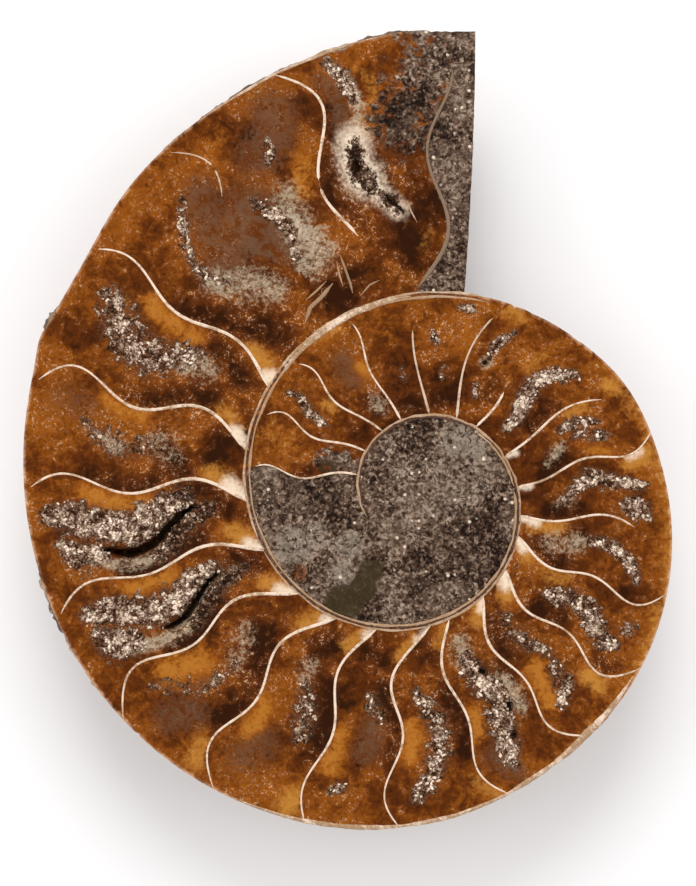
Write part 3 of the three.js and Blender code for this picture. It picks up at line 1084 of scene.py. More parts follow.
def crystal_tree(material):
    """Stands small crystals on the faces whose 'open' attribute asks for them."""
    inputs = [GEOMETRY, *((name, "Float", value) for name, value in CRYSTALS.items())]
    tree = new_tree("Crystals", [*inputs, ("Seed", "Int", CRYSTAL_SEED)])
    given = add(tree, "NodeGroupInput")
    place = add(tree, "GeometryNodeInputPosition").outputs[0]
    clump = crystal_clumps(tree, place).smooth(0.25, 0.7)
    density = named(tree, "open") * (clump * 0.85 + 0.15) * Field(tree, given.outputs["Density"])
    links = {"Mesh": given.outputs["Geometry"], "Density": density, "Seed": given.outputs["Seed"]}
    scatter = add(tree, "GeometryNodeDistributePointsOnFaces", links)
    links = {0: (0.0, 0.0, 0.0), 1: (TURN, TURN, TURN), "Seed": 5}
    turned = add(tree, "FunctionNodeRandomValue", links, data_type="FLOAT_VECTOR").outputs[0]
    chance = add(tree, "FunctionNodeRandomValue", {2: 0.0, 3: 1.0, "Seed": 7}, data_type="FLOAT")
    chance = Field(tree, chance.outputs[1])
    least = Field(tree, given.outputs["Smallest"])
    sized = least + (Field(tree, given.outputs["Largest"]) - least) * chance * chance
    shape = add(tree, "GeometryNodeMeshIcoSphere", {"Radius": 1.0, "Subdivisions": 1}).outputs[0]
    stretch = add(tree, "GeometryNodeTransform", {"Geometry": shape, "Scale": (1, 0.8, 1.5)})
    links = {"Points": scatter.outputs["Points"], "Instance": stretch.outputs[0]}
    links.update({"Rotation": turned, "Scale": sized})
    crystals = add(tree, "GeometryNodeInstanceOnPoints", links).outputs[0]
    shade = add(tree, "FunctionNodeRandomValue", {2: 0.0, 3: 1.0, "Seed": 11}, data_type="FLOAT")
    links = {"Geometry": crystals, "Name": "shade", "Value": shade.outputs[1]}
    kept = {"data_type": "FLOAT", "domain": "INSTANCE"}
    tinted = add(tree, "GeometryNodeStoreNamedAttribute", links, **kept).outputs[0]
    finish_tree(tree, tinted, material)
    return tree


# ---------------------------------------------------------------------------------------------
# Finishes
# ---------------------------------------------------------------------------------------------


def mixed(tree, factor, first, second):
    """A colour between two colours."""
    links = {0: factor, 6: first, 7: second}
    return add(tree, "ShaderNodeMix", links, data_type="RGBA").outputs[2]


def attribute(tree, title):
    node = add(tree, "ShaderNodeAttribute", attribute_name=title)
    return Field(tree, node.outputs["Fac"])


def object_place(tree):
    return add(tree, "ShaderNodeTexCoord").outputs["Object"]


def grains(tree, size, vector):
    """Cells about size metres wide: how far from a cell's middle, and a random value of it."""
    node = add(tree, "ShaderNodeTexVoronoi", {"Vector": vector, "Scale": 1 / size})
    parts = add(tree, "ShaderNodeSeparateColor", {0: node.outputs["Color"]})
    return Field(tree, node.outputs["Distance"]), Field(tree, parts.outputs[0])


def ramp(tree, factor, *stops):
    """A colour ramp of places and colours."""
    node = add(tree, "ShaderNodeValToRGB", {0: factor})
    line = node.color_ramp.elements
    while len(line) < len(stops):
        line.new(0.5)
    for element, (place, shade) in zip(line, stops):
        element.position = place
        element.color = (*shade, 1)
    return node.outputs[0]


def colour_inputs(finish, *names):
    """Colour inputs of a shader group, with the finish's colours as defaults."""
    return [(name.title(), "Color", (*getattr(finish, name), 1)) for name in names]


def calcite_group(finish):
    """Amber calcite: brown and orange, with dark, glowing, golden, cloudy and milky places."""
    names = ("dark", "brown", "amber", "glow", "golden", "cloud", "milk", "cream", "fleck")
    outputs = (("Color", "Color", None), ("Height", "Float", None))
    tree = new_tree("Calcite", colour_inputs(finish, *names), outputs, "ShaderNodeTree")
    given = add(tree, "NodeGroupInput")
    place = object_place(tree)
    broad = noise(tree, 0.0058, place, 3, 0.5, 0.4, 2.6)
    blotch = noise(tree, 0.0016, place, 4, 0.6, 0.8, 2.5)
    fine = noise(tree, 0.0005, place, 3, 0.65, 0.3, 3.0)
    glow, golden = attribute(tree, "glow"), attribute(tree, "golden")
    dark, cloud = attribute(tree, "dark"), attribute(tree, "cloud")
    tone = broad * 0.42 + blotch * 0.34 + fine * 0.12 + attribute(tree, "across") * 0.14 - 0.025
    tone = tone - dark * (0.22 + fine * 0.2) + glow * 0.2 + golden * 0.2
    shade = mixed(tree, tone.smooth(0.1, 0.42), given.outputs["Dark"], given.outputs["Brown"])
    shade = mixed(tree, tone.smooth(0.36, 0.66), shade, given.outputs["Amber"])
    shade = mixed(tree, tone.smooth(0.62, 1.0) * 0.7, shade, given.outputs["Glow"])
    texture = blotch * 0.5 + fine * 0.5 - 0.5
    halo = attribute(tree, "druse").smooth(0.0, 0.6) * 0.55
    cloudy = (cloud + texture * 0.9).smooth(0.15, 0.85) * cloud.smooth(0.02, 0.15)
    cloudy = cloudy.made("MAXIMUM", cloudy, halo)
    ashen = mixed(tree, blotch.smooth(0.2, 0.9), given.outputs["Cloud"], given.outputs["Brown"])
    shade = mixed(tree, cloudy * 0.9, shade, ashen)
    for title, grip, full in (
        ("glow", 1.1, 1.3),
        ("golden", 0.9, 1.2),
        ("milk", 1.2, 1.05),
        ("cream", 0.4, 1.1),
    ):
        strength = attribute(tree, title)
        factor = (strength + texture * grip).smooth(0.2, full) * strength.smooth(0.02, 0.15)
        layer = given.outputs[title.title()]
        if title == "milk":
            layer = mixed(tree, (fine * 0.5 + blotch * 0.5).smooth(0.1, 0.7), ashen, layer)
        shade = mixed(tree, factor * 0.85, shade, layer)
    core = (glow + texture * 0.9).smooth(0.55, 1.2) * glow.smooth(0.3, 0.6)
    shade = mixed(tree, core * 0.4, shade, given.outputs["Golden"])
    # Light flecks in clusters, and small dark flaws.
    fleck = noise(tree, 0.00034, place, 2, 0.62, 1.0, 4.5).smooth(0.93, 1.0)
    cluster = (broad * 0.4 + blotch * 0.6).smooth(0.45, 0.8) + halo + attribute(tree, "milk")
    bare = 1 - (glow + golden + cloud * 0.8).clamped(0, 1)
    fleck = (fleck * cluster * bare).clamped(0, 1)
    shade = mixed(tree, fleck * 0.56, shade, given.outputs["Fleck"])
    flaw = noise(tree, 0.0004, place, 2, 0.6, 0.6, 4.0).smooth(0.72, 1.0)
    shade = mixed(tree, flaw * 0.4 * bare, shade, given.outputs["Dark"])
    edge = attribute(tree, "rim") * (blotch * 0.7 + 0.3)
    shade = mixed(tree, edge.smooth(0.2, 0.9) * 0.6, shade, given.outputs["Fleck"])
    add(tree, "NodeGroupOutput", {"Color": shade, "Height": fine})
    return tree


def druse_group(finish):
    """Bands of small crystals: light, grey and brown grains."""
    outputs = (("Color", "Color", None), ("Mask", "Float", None), ("Height", "Float", None))
    inputs = colour_inputs(finish, "crystal", "dark")
    tree = new_tree("Druse", inputs, outputs, "ShaderNodeTree")
    given = add(tree, "NodeGroupInput")
    place = object_place(tree)
    ragged = noise(tree, 0.0012, place, 4, 0.66, 0.5, 3.2)
    crust = noise(tree, 0.00052, place, 3, 0.66, 1.3, 3.6)
    asked = attribute(tree, "druse")
    clump = crystal_clumps(tree, place)
    mask = asked * 1.15 + (ragged - 0.5) * 0.9 + (clump - 0.5) * 0.5
    mask = mask.smooth(0.42, 0.66) * asked.smooth(0.02, 0.12)
    far, pick = grains(tree, 0.00034, place)
    far_small, pick_small = grains(tree, 0.00017, place)
    light = crust * 0.3 + pick * 0.2 + pick_small * 0.14 + clump * 0.42 + (asked - 0.95) * 0.2
    light = light - attribute(tree, "dark") * 0.25
    shade = ramp(
        tree,
        light,
        (0.22, (0.022, 0.0080, 0.0032)),
        (0.42, (0.100, 0.043, 0.019)),
        (0.58, (0.310, 0.190, 0.128)),
        (0.74, (0.700, 0.560, 0.440)),
    )
    shade = mixed(tree, light.smooth(0.68, 0.84), shade, given.outputs["Crystal"])
    height = (1 - far) * 0.4 + (1 - far_small) * 0.2 + crust * 0.6
    add(tree, "NodeGroupOutput", {"Color": shade, "Mask": mask, "Height": height})
    return tree


def matrix_group(finish):
    """Grey-brown rock full of pores, with light grains and smoother patches."""
    outputs = (("Color", "Color", None), ("Height", "Float", None))
    inputs = colour_inputs(finish, "matrix", "crystal", "dark", "pale", "olive", "amber")
    tree = new_tree("Matrix", inputs, outputs, "ShaderNodeTree")
    given = add(tree, "NodeGroupInput")
    place = object_place(tree)
    broad = noise(tree, 0.0048, place, 3, 0.5, 0.5, 3.0)
    mottle = noise(tree, 0.0007, place, 4, 0.72, 0.8, 3.2)
    pick = grains(tree, 0.00032, place)[1]
    clast = grains(tree, 0.0008, place)[1]
    pale, olive = attribute(tree, "pale"), attribute(tree, "olive")
    tone = mottle * 0.4 + pick * 0.3 + broad * 0.16 + clast * 0.16 + pale * 0.14 - olive * 0.1
    tone = tone - attribute(tree, "deep") * 0.11
    shade = ramp(
        tree,
        tone,
        (0.26, (0.0090, 0.0046, 0.0030)),
        (0.44, (0.0620, 0.0350, 0.0225)),
        (0.60, (0.1800, 0.1160, 0.0800)),
        (0.80, (0.4500, 0.3400, 0.2600)),
    )
    shade = mixed(tree, broad.smooth(0.3, 0.9) * 0.35, shade, given.outputs["Matrix"])
    patch = (pale + (mottle - 0.5) * 0.4).smooth(0.3, 0.75) * pale.smooth(0.02, 0.1)
    shade = mixed(tree, patch * 0.5, shade, given.outputs["Pale"])
    patch = (olive + (mottle - 0.5) * 0.3).smooth(0.35, 0.6) * olive.smooth(0.02, 0.1)
    shade = mixed(tree, patch * 0.85, shade, given.outputs["Olive"])
    honey = (attribute(tree, "honey") + (broad + mottle - 1) * 0.5).smooth(0.4, 1.1)
    shade = mixed(tree, honey, shade, given.outputs["Amber"])
    speck_far, speck_pick = grains(tree, 0.0009, place)
    speck = speck_pick.smooth(0.84, 0.88) * (1 - speck_far.smooth(0.16, 0.3))
    shade = mixed(tree, speck * 0.8 * (1 - patch), shade, given.outputs["Crystal"])
    # Pores and gaps are pits in the bump and are also painted dark: painted shade in the pits.
    pore_far, pore_pick = grains(tree, 0.0013, place)
    pore = pore_pick.smooth(0.62, 0.7) * (1 - pore_far.smooth(0.12, 0.3))
    gap = noise(tree, 0.0009, place, 3, 0.7, 1.2, 4.0).smooth(0.86, 0.98)
    pore = pore.made("MAXIMUM", pore, gap) * (1 - patch)
    shade = mixed(tree, pore * 0.9, shade, given.outputs["Dark"])
    height = mottle * 0.6 - pore + speck * 0.3
    add(tree, "NodeGroupOutput", {"Color": shade, "Height": height})
    return tree


def grouped(tree, group):
    return add(tree, "ShaderNodeGroup", node_tree=group)


def new_material(name):
    """A material with its shader and its output, ready for links."""
    material = bpy.data.materials.new(name)
    material.use_nodes = True
    tree = material.node_tree
    tree.nodes.clear()
    shader = add(tree, "ShaderNodeBsdfPrincipled")
    add(tree, "ShaderNodeOutputMaterial", {"Surface": shader.outputs[0]})
    return material, tree, shader


def bump(tree, height, distance):
    links = {"Height": height, "Strength": 1.0, "Distance": distance}
    return add(tree, "ShaderNodeBump", links).outputs[0]


def polished_material(calcite, druse, matrix):
    """Calcite, druse and rock of the polished face, as its attributes ask for them, with painted
    shade in its pockets.
    """
    material, tree, shader = new_material("polished_face")
    stone, grain, rock = grouped(tree, calcite), grouped(tree, druse), grouped(tree, matrix)
    crystals = Field(tree, grain.outputs["Mask"])
    place = object_place(tree)
    ragged = noise(tree, 0.0014, place, 4, 0.65, 0.5, 3.0)
    murk = attribute(tree, "murk")
    murk = (murk + (ragged - 0.5) * 0.9).smooth(0.3, 0.75) * murk.smooth(0.02, 0.1)
    rocky = (attribute(tree, "matrix") + murk).clamped(0, 1)
    # The pockets and slots are sunk into the face and are also painted near black: painted shade
    # inside them.
    painted_hole_shade = attribute(tree, "hole")
    painted_hole_shade = (painted_hole_shade + (ragged - 0.5) * 0.28).smooth(0.34, 0.62) * painted_hole_shade.smooth(0.05, 0.2)
    shade = mixed(tree, rocky, stone.outputs["Color"], rock.outputs["Color"])
    shade = mixed(tree, crystals, shade, grain.outputs["Color"])
    shade = mixed(tree, painted_hole_shade * 0.88, shade, (0.024, 0.0125, 0.0055, 1))
    tree.links.new(shade, shader.inputs["Base Color"])
    rough = crystals * 0.4 + rocky * 0.36 + 0.17 + Field(tree, stone.outputs["Height"]) * 0.06
    tree.links.new(rough.clamped(0, 0.85).socket, shader.inputs["Roughness"])
    relief = Field(tree, grain.outputs["Height"]) * crystals * 0.7
    relief = relief + Field(tree, rock.outputs["Height"]) * rocky * 0.4
    relief = relief + Field(tree, stone.outputs["Height"]) * 0.02
    tree.links.new(bump(tree, relief, 0.00035), shader.inputs["Normal"])
    shader.inputs["Specular IOR Level"].default_value = 0.05
    return material


def shell_material(finish):
    """Worn brown and cream shell of the back."""
    material, tree, shader = new_material("shell_back")
    place = object_place(tree)
    broad = noise(tree, 0.011, place, 4, 0.55, 0.5, 2.6)
    mottle = noise(tree, 0.0016, place, 4, 0.66, 0.3, 2.6)
    fine = noise(tree, 0.0004, place, 3, 0.7, 0.0, 2.4)
    shade = ramp(
        tree,
        broad * 0.55 + mottle * 0.45,
        (0.1, (0.055, 0.024, 0.010)),
        (0.36, (0.190, 0.090, 0.038)),
        (0.6, tuple(finish.shell)),
        (0.92, (0.600, 0.470, 0.350)),
    )
    worn = (mottle * 0.6 + fine * 0.4).smooth(0.62, 0.8) * broad.smooth(0.35, 0.7)
    shade = mixed(tree, worn * 0.7, shade, (*finish.cream, 1))
    # Frilled seams where the chamber walls meet the shell.
    across = attribute(tree, "across")
    frill = (across * 34).sin() * 0.16 + (across * 97).sin() * 0.07 + (across * 230).sin() * 0.03
    count = attribute(tree, "count") + frill
    share = count.made("FRACT", count) - 0.5
    seam = 1 - share.made("ABSOLUTE", share).smooth(0.015, 0.055)
    shade = mixed(tree, seam * broad.smooth(0.1, 0.5) * 0.75, shade, (*finish.brown, 1))
    edge = attribute(tree, "rim") * (fine + 0.4)
    shade = mixed(tree, edge.clamped(0, 1) * 0.65, shade, (*finish.cream, 1))
    tree.links.new(shade, shader.inputs["Base Color"])
    tree.links.new((fine * 0.3 + 0.38).socket, shader.inputs["Roughness"])
    tree.links.new(bump(tree, mottle * 0.7 + fine * 0.3, 0.0004), shader.inputs["Normal"])
    return material


def rock_material(matrix):
    """Sawn grey rock."""
    material, tree, shader = new_material("sawn_mouth")
    rock = grouped(tree, matrix)
    tree.links.new(rock.outputs["Color"], shader.inputs["Base Color"])
    shader.inputs["Roughness"].default_value = 0.62
    tree.links.new(bump(tree, Field(tree, rock.outputs["Height"]), 0.0003), shader.inputs["Normal"])
    return material


def section_material(name, finish, roughness, spread):
    """Shell seen in section. The larger spread is, the more of it is stained."""
    light, stained, murky = finish.wall, finish.tan, finish.matrix
    material, tree, shader = new_material(name)
    place = object_place(tree)
    stain = noise(tree, 0.0021, place, 4, 0.65, 0.3, 2.6)
    fine = noise(tree, 0.00035, place, 3, 0.7, 0.0, 2.6)
    tone = (stain * 0.6 + fine * 0.4).smooth(spread - 0.2, spread + 0.25)
    shade = mixed(tree, tone, (*stained, 1), (*light, 1))
    dull = attribute(tree, "dull")
    shade = mixed(tree, dull.clamped(0, 1), shade, (*stained, 1))
    shade = mixed(tree, (dull - 1).clamped(0, 1), shade, (*murky, 1))
    tree.links.new(shade, shader.inputs["Base Color"])
    tree.links.new((fine * 0.25 + roughness).socket, shader.inputs["Roughness"])
    tree.links.new(bump(tree, fine, 0.00006), shader.inputs["Normal"])
    return material


def crystal_material(finish):
    """Small crystals from brown to almost white, one shade each."""
    material, tree, shader = new_material("druse_crystals")
    fine = noise(tree, 0.0003, object_place(tree), 3, 0.7, 0.0, 2.6)
    clump = crystal_clumps(tree, object_place(tree))
    light = attribute(tree, "shade") * 0.46 + fine * 0.14 + clump * 0.46
    light = light - attribute(tree, "dark") * 0.35
    shade = ramp(
        tree,
        light,
        (0.12, (0.036, 0.0150, 0.0065)),
        (0.36, (0.150, 0.078, 0.042)),
        (0.56, (0.430, 0.290, 0.200)),
        (0.74, tuple(finish.crystal)),
    )
    tree.links.new(shade, shader.inputs["Base Color"])
    tree.links.new((fine * 0.4 + 0.2).socket, shader.inputs["Roughness"])
    return material


# ---------------------------------------------------------------------------------------------
# Operators
# ---------------------------------------------------------------------------------------------


def finished(piece):
    """Ties a finished piece to the stone."""
    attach(piece, "root")
    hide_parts(STONE_NODE)


def bmesh_checked(mesh):
    """Merges doubles, turns every face of a mesh outwards, and returns how many edges are open."""
    shape = bmesh.new()
    shape.from_mesh(mesh)
    bmesh.ops.remove_doubles(shape, verts=shape.verts, dist=1e-7)
    bmesh.ops.recalc_face_normals(shape, faces=shape.faces)
    open_edges = sum(1 for edge in shape.edges if len(edge.link_faces) != 2)
    shape.to_mesh(mesh)
    shape.free()
    return open_edges


def points_inside(outline, wander):
    """Points in even rows inside a closed outline, a little jittered."""
    low, high = outline.min(0), outline.max(0)
    ends = np.roll(outline, -1, 0)
    inner = []
    for x in np.arange(low[0] + MOUTH_STEP, high[0], MOUTH_STEP):
        for z in np.arange(low[1] + MOUTH_STEP, high[1], MOUTH_STEP):
            spot = np.array([x, z]) + wander.uniform(-MOUTH_JITTER, MOUTH_JITTER, 2) * MOUTH_STEP
            crossed = (outline[:, 1] > spot[1]) != (ends[:, 1] > spot[1])
            start, run = outline[crossed], ends[crossed] - outline[crossed]
            crossings = start[:, 0] + (spot[1] - start[:, 1]) * run[:, 0] / run[:, 1]
            gap = np.hypot(*(outline - spot).T).min()
            if (crossings > spot[0]).sum() % 2 and gap > MOUTH_STEP * 0.6:
                inner.append(spot)
    return np.array(inner)


def fill_mouth(mesh, loop, middle, slot):
    """Closes the sawn mouth with a finely divided face. The loop runs round it."""
    rim = np.array([mesh.vertices[i].co[:] for i in loop])
    middle = np.array([*middle, 0.0])
    flat = np.stack([np.hypot(*(rim - middle)[:, :2].T), rim[:, 2]], -1)
    bearing = np.arctan2(*(rim - middle)[:, 1::-1].T)
    wander = np.random.default_rng(4)
    inner = points_inside(flat, wander)
    given = [Vector(p) for p in (*flat, *inner)]
    count = len(flat)
    sides = [(i, (i + 1) % count) for i in range(count)]
    _, _, faces, origin, *_ = delaunay_2d_cdt(given, sides, [list(range(count))], 1, 1e-9)
    weight = 1 / (((inner[:, None, :] - flat[None]) ** 2).sum(-1) + 1e-9) ** 1.5
    turned = (weight * bearing).sum(1) / weight.sum(1)
    grain = wander.uniform(-MOUTH_GRAIN, MOUTH_GRAIN, len(inner))
    x = middle[0] + inner[:, 0] * np.cos(turned) - np.sin(turned) * grain
    y = middle[1] + inner[:, 0] * np.sin(turned) + np.cos(turned) * grain
    shape = bmesh.new()
    shape.from_mesh(mesh)
    shape.verts.ensure_lookup_table()
    corners = [shape.verts[i] for i in loop]
    corners += [shape.verts.new(p) for p in zip(x, y, inner[:, 1])]
    numbers = [entry[0] for entry in origin]
    for face in faces:
        made = shape.faces.new([corners[numbers[i]] for i in face])
        made.material_index = slot
    shape.to_mesh(mesh)
    shape.free()


def face_attributes(coil, sheets):
    """What the surface shows at every vertex of the sheets."""
    t = np.concatenate(sheets.turn)
    across = np.concatenate(sheets.across)
    back = np.concatenate(sheets.back)
    reach = np.concatenate(sheets.reach)
    on_face = back < BACK_FROM
    count = chamber_of(t, across)
    chamber = np.where(on_face, count, NO_CHAMBER)
    painted = paint_strokes(coil, t, across, chamber)
    matrix = ((chamber >= MATRIX_CHAMBER) | (chamber < 0) | (t > 2 * TURN)) & on_face
    place = face_xy(coil, t, across) * reach[:, None] / MILLIMETRE
    patches = {kind: np.zeros(len(t)) for kind in ("pale", "olive", "honey", "deep")}
    for kind, x, y, radius, strength in MATRIX_PATCHES:
        near = np.hypot(place[:, 0] - x, place[:, 1] - y) / radius
        patches[kind] = np.maximum(patches[kind], strength * (1 - smooth(near, 0.5, 1.2)))
    height = wall_radius(coil, t) - wall_radius(coil, t + TURN)
    height = np.where(on_face, height, wall_radius(coil, t) * (1 - coil.umbilicus))
    rim_gap = (1 - across) * height
    rim = np.where(t <= TURN, np.exp(-rim_gap / RIM_REACH), 0.0)
    depth = np.where(np.isin(np.floor(chamber), POCKET_CHAMBERS), POCKET_DEPTH, SLOT_DEPTH)
    sunk = painted["hole"] * depth + painted["druse"] * DRUSE_DEPTH + matrix * ROCK_DEPTH
    rugged = np.clip(painted["druse"] + painted["hole"] * 1.5 + matrix * 0.3, 0, 1.6)
    band = np.exp(-((rim_gap / BAND_REACH) ** 2)) * (t <= TURN) * on_face
    sunny = smooth(np.degrees(t), *BAND_COMES) * (1 - smooth(np.degrees(t), *BAND_GOES))
    painted["golden"] = np.maximum(painted["golden"], band * sunny * 0.62)
    known = {"turn": t, "across": across, "back": back, "reach": reach, "rim": rim}
    known.update(painted)
    known.update(patches)
    known["matrix"] = matrix
    known["count"] = count
    known["sunk"] = np.where(back == 0, sunk, 0)
    known["rugged"] = np.where(back == 0, rugged, 0)
    crystals = np.clip(painted["druse"] * 1.25 - 0.3 - painted["hole"] * 1.5, 0, 1) ** 2
    known["open"] = crystals * (back == 0)
    return known


# Places of the grey rock: kind, place in mm from the middle of the coil, radius in mm, strength.
MATRIX_PATCHES = (
    ("pale", 2.1, 7.0, 2.6, 1.0),
    ("pale", 4.2, 5.6, 1.6, 0.8),
    ("pale", 1.2, 1.8, 6.5, 0.42),
    ("pale", -4.0, -2.5, 3.4, 0.35),
    ("pale", -18.7, -6.2, 2.9, 0.9),
    ("pale", -16.0, -5.0, 2.6, 0.6),
    ("pale", -11.8, -6.2, 2.4, 0.75),
    ("pale", -12.6, -9.8, 2.2, 0.7),
    ("olive", -12.4, -13.4, 2.7, 1.0),
    ("olive", -9.0, -9.4, 1.9, 0.8),
    ("olive", -10.0, -11.6, 2.0, 0.9),
    ("olive", -14.5, 3.4, 1.5, 0.7),
    ("deep", 2.5, -10.5, 7.5, 0.6),
    ("deep", -5.2, 47.0, 5.5, 1.0),
    ("deep", 6.5, -5.0, 4.0, 0.7),
    ("deep", -16.5, 0.5, 5.0, 0.8),
    ("deep", -3.0, 8.0, 2.4, 0.8),
    ("honey", -18.0, -9.6, 1.5, 0.8),
    ("honey", -8.6, -7.0, 1.0, 0.5),
)


class AMMONITE_OT_stone(bpy.types.Operator):
    """Build the stone, with its polished face, its ribbed back and its sawn mouth"""

    bl_idname = "ammonite.stone"
    bl_label = "Stone"

    def execute(self, context):
        coil, finish = context.scene.ammonite_coil, context.scene.ammonite_finish
        middle = coil_middle(coil)
        sheets = Sheets()
        face = lay_face(sheets, coil)
        rim = [column[0] for column in face[: COLUMNS + 1]]
        back = lay_back(sheets, coil, rim)
        known = face_attributes(coil, sheets)
        loop = [*face[0], *back[COLUMNS][SEAM_ROWS:-1][::-1], *back[0][1:-1]]
        flat = np.zeros((sheets.count, 3))
        mesh = mesh_from("ammonite_stone", flat, sheets.faces, known, sheet=sheets.face_kinds)
        matrix = matrix_group(finish)
        face_material = polished_material(calcite_group(finish), druse_group(finish), matrix)
        materials = (face_material, shell_material(finish))
        tree = coil_tree(coil, middle, materials)
        piece = plain_mesh("ammonite_stone", mesh, tree, TreeSizes.values(coil, chips=coil.chip))
        made = piece.data
        made.materials.append(rock_material(matrix))
        fill_mouth(made, loop, middle, len(made.materials) - 1)
        open_edges = bmesh_checked(made)
        if open_edges:
            raise RuntimeError(f"the stone has {open_edges} open edges")
        for polygon in made.polygons:
            polygon.use_smooth = True
        made.set_sharp_from_angle(angle=math.radians(STONE_SHARP))
        finished(piece)
        return {"FINISHED"}


def line_mesh(name, lines):
    """Open lines as a mesh of edges. A line is its turns, its heights and its half widths."""
    t = np.concatenate([line[0] for line in lines])
    across = np.concatenate([line[1] for line in lines])
    width = np.concatenate([line[2] for line in lines])
    dull = np.concatenate([np.full(len(line[0]), line[3]) for line in lines])
    edges = []
    start = 0
    for line in lines:
        edges += [(i, i + 1) for i in range(start, start + len(line[0]) - 1)]
        start += len(line[0])
    known = {"turn": t, "across": across, "half_width": width, "dull": dull}
    return mesh_from(name, np.zeros((len(t), 3)), (), known, edges)


class AMMONITE_OT_chamber_walls(bpy.types.Operator):
    """Build the cream walls between the chambers"""

    bl_idname = "ammonite.chamber_walls"
    bl_label = "Chamber Walls"

    def execute(self, context):
        coil, finish = context.scene.ammonite_coil, context.scene.ammonite_finish
        wander = np.random.default_rng(21)
        lines = []
        for index, wall in enumerate(CHAMBER_WALLS):
            across = np.linspace(wall[5], wall[6], WALL_POINTS)
            t = wall_turns(across)[index + 1]
            scale = 0.5 + 0.5 * np.exp(-t[0] / 4)
            ends = np.clip(np.minimum(across - wall[5], wall[6] - across) * 30, 0.25, 1)
            dull = WALL_STAINS.get(index, 0.0)
            scale *= THIN_WALLS.get(index, 1)
            width = (0.27 - 0.12 * across + 0.02 * np.sin(across * 9 + index)) * scale
            width *= 1 + wander.uniform(-0.09, 0.09, len(width))
            low, high = WALL_GAPS.get(index, (0, 0))
            width[(across > low) & (across < high)] *= 0.04
            lines.append((t, across, width * ends * MILLIMETRE, dull))
        material = section_material("chamber_wall", finish, 0.3, 0.36)
        tree = ribbon_tree("Chamber Walls", coil, coil_middle(coil), material, WALL_FLATNESS)
        values = TreeSizes.values(coil, flatness=WALL_FLATNESS)
        finished(plain_mesh("chamber_walls", line_mesh("chamber_walls", lines), tree, values))
        return {"FINISHED"}


# Shell seen along the whorls: degrees from and to, how far inside the wall in mm, half width in
# mm, and how stained it is from 0 to 1.
WHORL_SHELLS = (
    (374, 415, 0.42, 0.42, 0.0),
    (352, 640, 0.62, 0.15, 0.8),
    (352, 470, 0.05, 0.14, 0.5),
    (11, 37, 0.14, 0.14, 0.25),
    (470, 600, 0.02, 0.13, 0.7),
    (600, 830, 0.1, 0.13, 0.7),
    (640, 700, 0.5, 0.13, 0.7),
    (148, 226, 0.16, 0.22, 0.1),
    (207, 231, 0.44, 0.36, 0.0),
)


class AMMONITE_OT_whorl_walls(bpy.types.Operator):
    """Build the shell between the whorls and along the rim"""

    bl_idname = "ammonite.whorl_walls"
    bl_label = "Whorl Walls"

    def execute(self, context):
        coil, finish = context.scene.ammonite_coil, context.scene.ammonite_finish
        wander = np.random.default_rng(22)
        lines = []
        for first, last, inside, half, dull in WHORL_SHELLS:
            t = np.radians(np.arange(first, last, SHELL_STEP))
            height = wall_radius(coil, t) - wall_radius(coil, t + TURN)
            steps = np.arange(0, len(t) + DRIFT_POINTS, DRIFT_POINTS)
            drift = np.interp(np.arange(len(t)), steps, wander.normal(0, 0.045, len(steps)))
            across = 1 - (inside + drift) * MILLIMETRE / height
            swell = np.interp(np.arange(len(t)), steps, wander.uniform(0.6, 1.5, len(steps)))
            width = half * MILLIMETRE * swell * (1 + wander.uniform(-0.12, 0.12, len(t)))
            width *= np.clip(from_ends(len(t)) / 12, 0.2, 1)
            lines.append((t, across, width, dull))
        lines += scrap_lines(coil)
        material = section_material("whorl_wall", finish, 0.38, 0.55)
        tree = ribbon_tree("Whorl Walls", coil, coil_middle(coil), material, WHORL_FLATNESS)
        values = TreeSizes.values(coil, flatness=WHORL_FLATNESS)
        finished(plain_mesh("whorl_walls", line_mesh("whorl_walls", lines), tree, values))
        return {"FINISHED"}


# Dark dots between the two shells of a whorl: degrees from and to, how far inside in mm.
DOT_ROWS = (
    (386, 414, 0.45),
    (395, 648, 0.3),
    (700, 826, 0.42),
)

# Scraps of shell on the face: half width in mm, how stained, and points in mm from the middle.
SHELL_SCRAPS = (
    (0.15, 1.3, (-12.9, 30.2), (-12.3, 28.6), (-11.6, 26.6), (-11.3, 25.4)),
    (0.12, 0.9, (-13.3, 29.4), (-13.0, 27.8), (-12.5, 26.2)),
    (0.26, 1.2, (-13.8, 26.6), (-15.2, 24.9), (-16.6, 23.6), (-17.3, 21.6)),
    (0.13, 1.0, (-14.6, 26.9), (-15.9, 25.6), (-17.2, 24.5)),
    (0.11, 1.2, (-8.0, 27.0), (-9.2, 26.4), (-10.4, 25.0)),
    (0.10, 0.7, (-5.0, 37.0), (-4.5, 35.6), (-3.8, 34.2)),
    (0.10, 0.6, (-11.9, 31.5), (-12.2, 30.6)),
)


def dot_tree(coil, middle, material):
    """Sets small flat dots along a line of the face."""
    tree = new_tree("Dots", TreeSizes.inputs(coil, dot=DOT_SIZE))
    given = add(tree, "NodeGroupInput")
    lines, bearing = on_face_line(tree, given, TreeSizes(tree, given), middle)
    shape = add(tree, "GeometryNodeMeshIcoSphere", {"Radius": 1.0, "Subdivisions": 2}).outputs[0]
    spin = add(tree, "ShaderNodeCombineXYZ", {"Z": bearing}).outputs[0]
    bulk = Field(tree, given.outputs["Dot"]) * named(tree, "half_width")
    links = {"X": bulk, "Y": bulk * 1.9, "Z": bulk * 0.3}
    wide = add(tree, "ShaderNodeCombineXYZ", links).outputs[0]
    links = {"Points": lines, "Instance": shape, "Rotation": spin, "Scale": wide}
    dots = add(tree, "GeometryNodeInstanceOnPoints", links).outputs[0]
    finish_tree(tree, dots, material)
    return tree


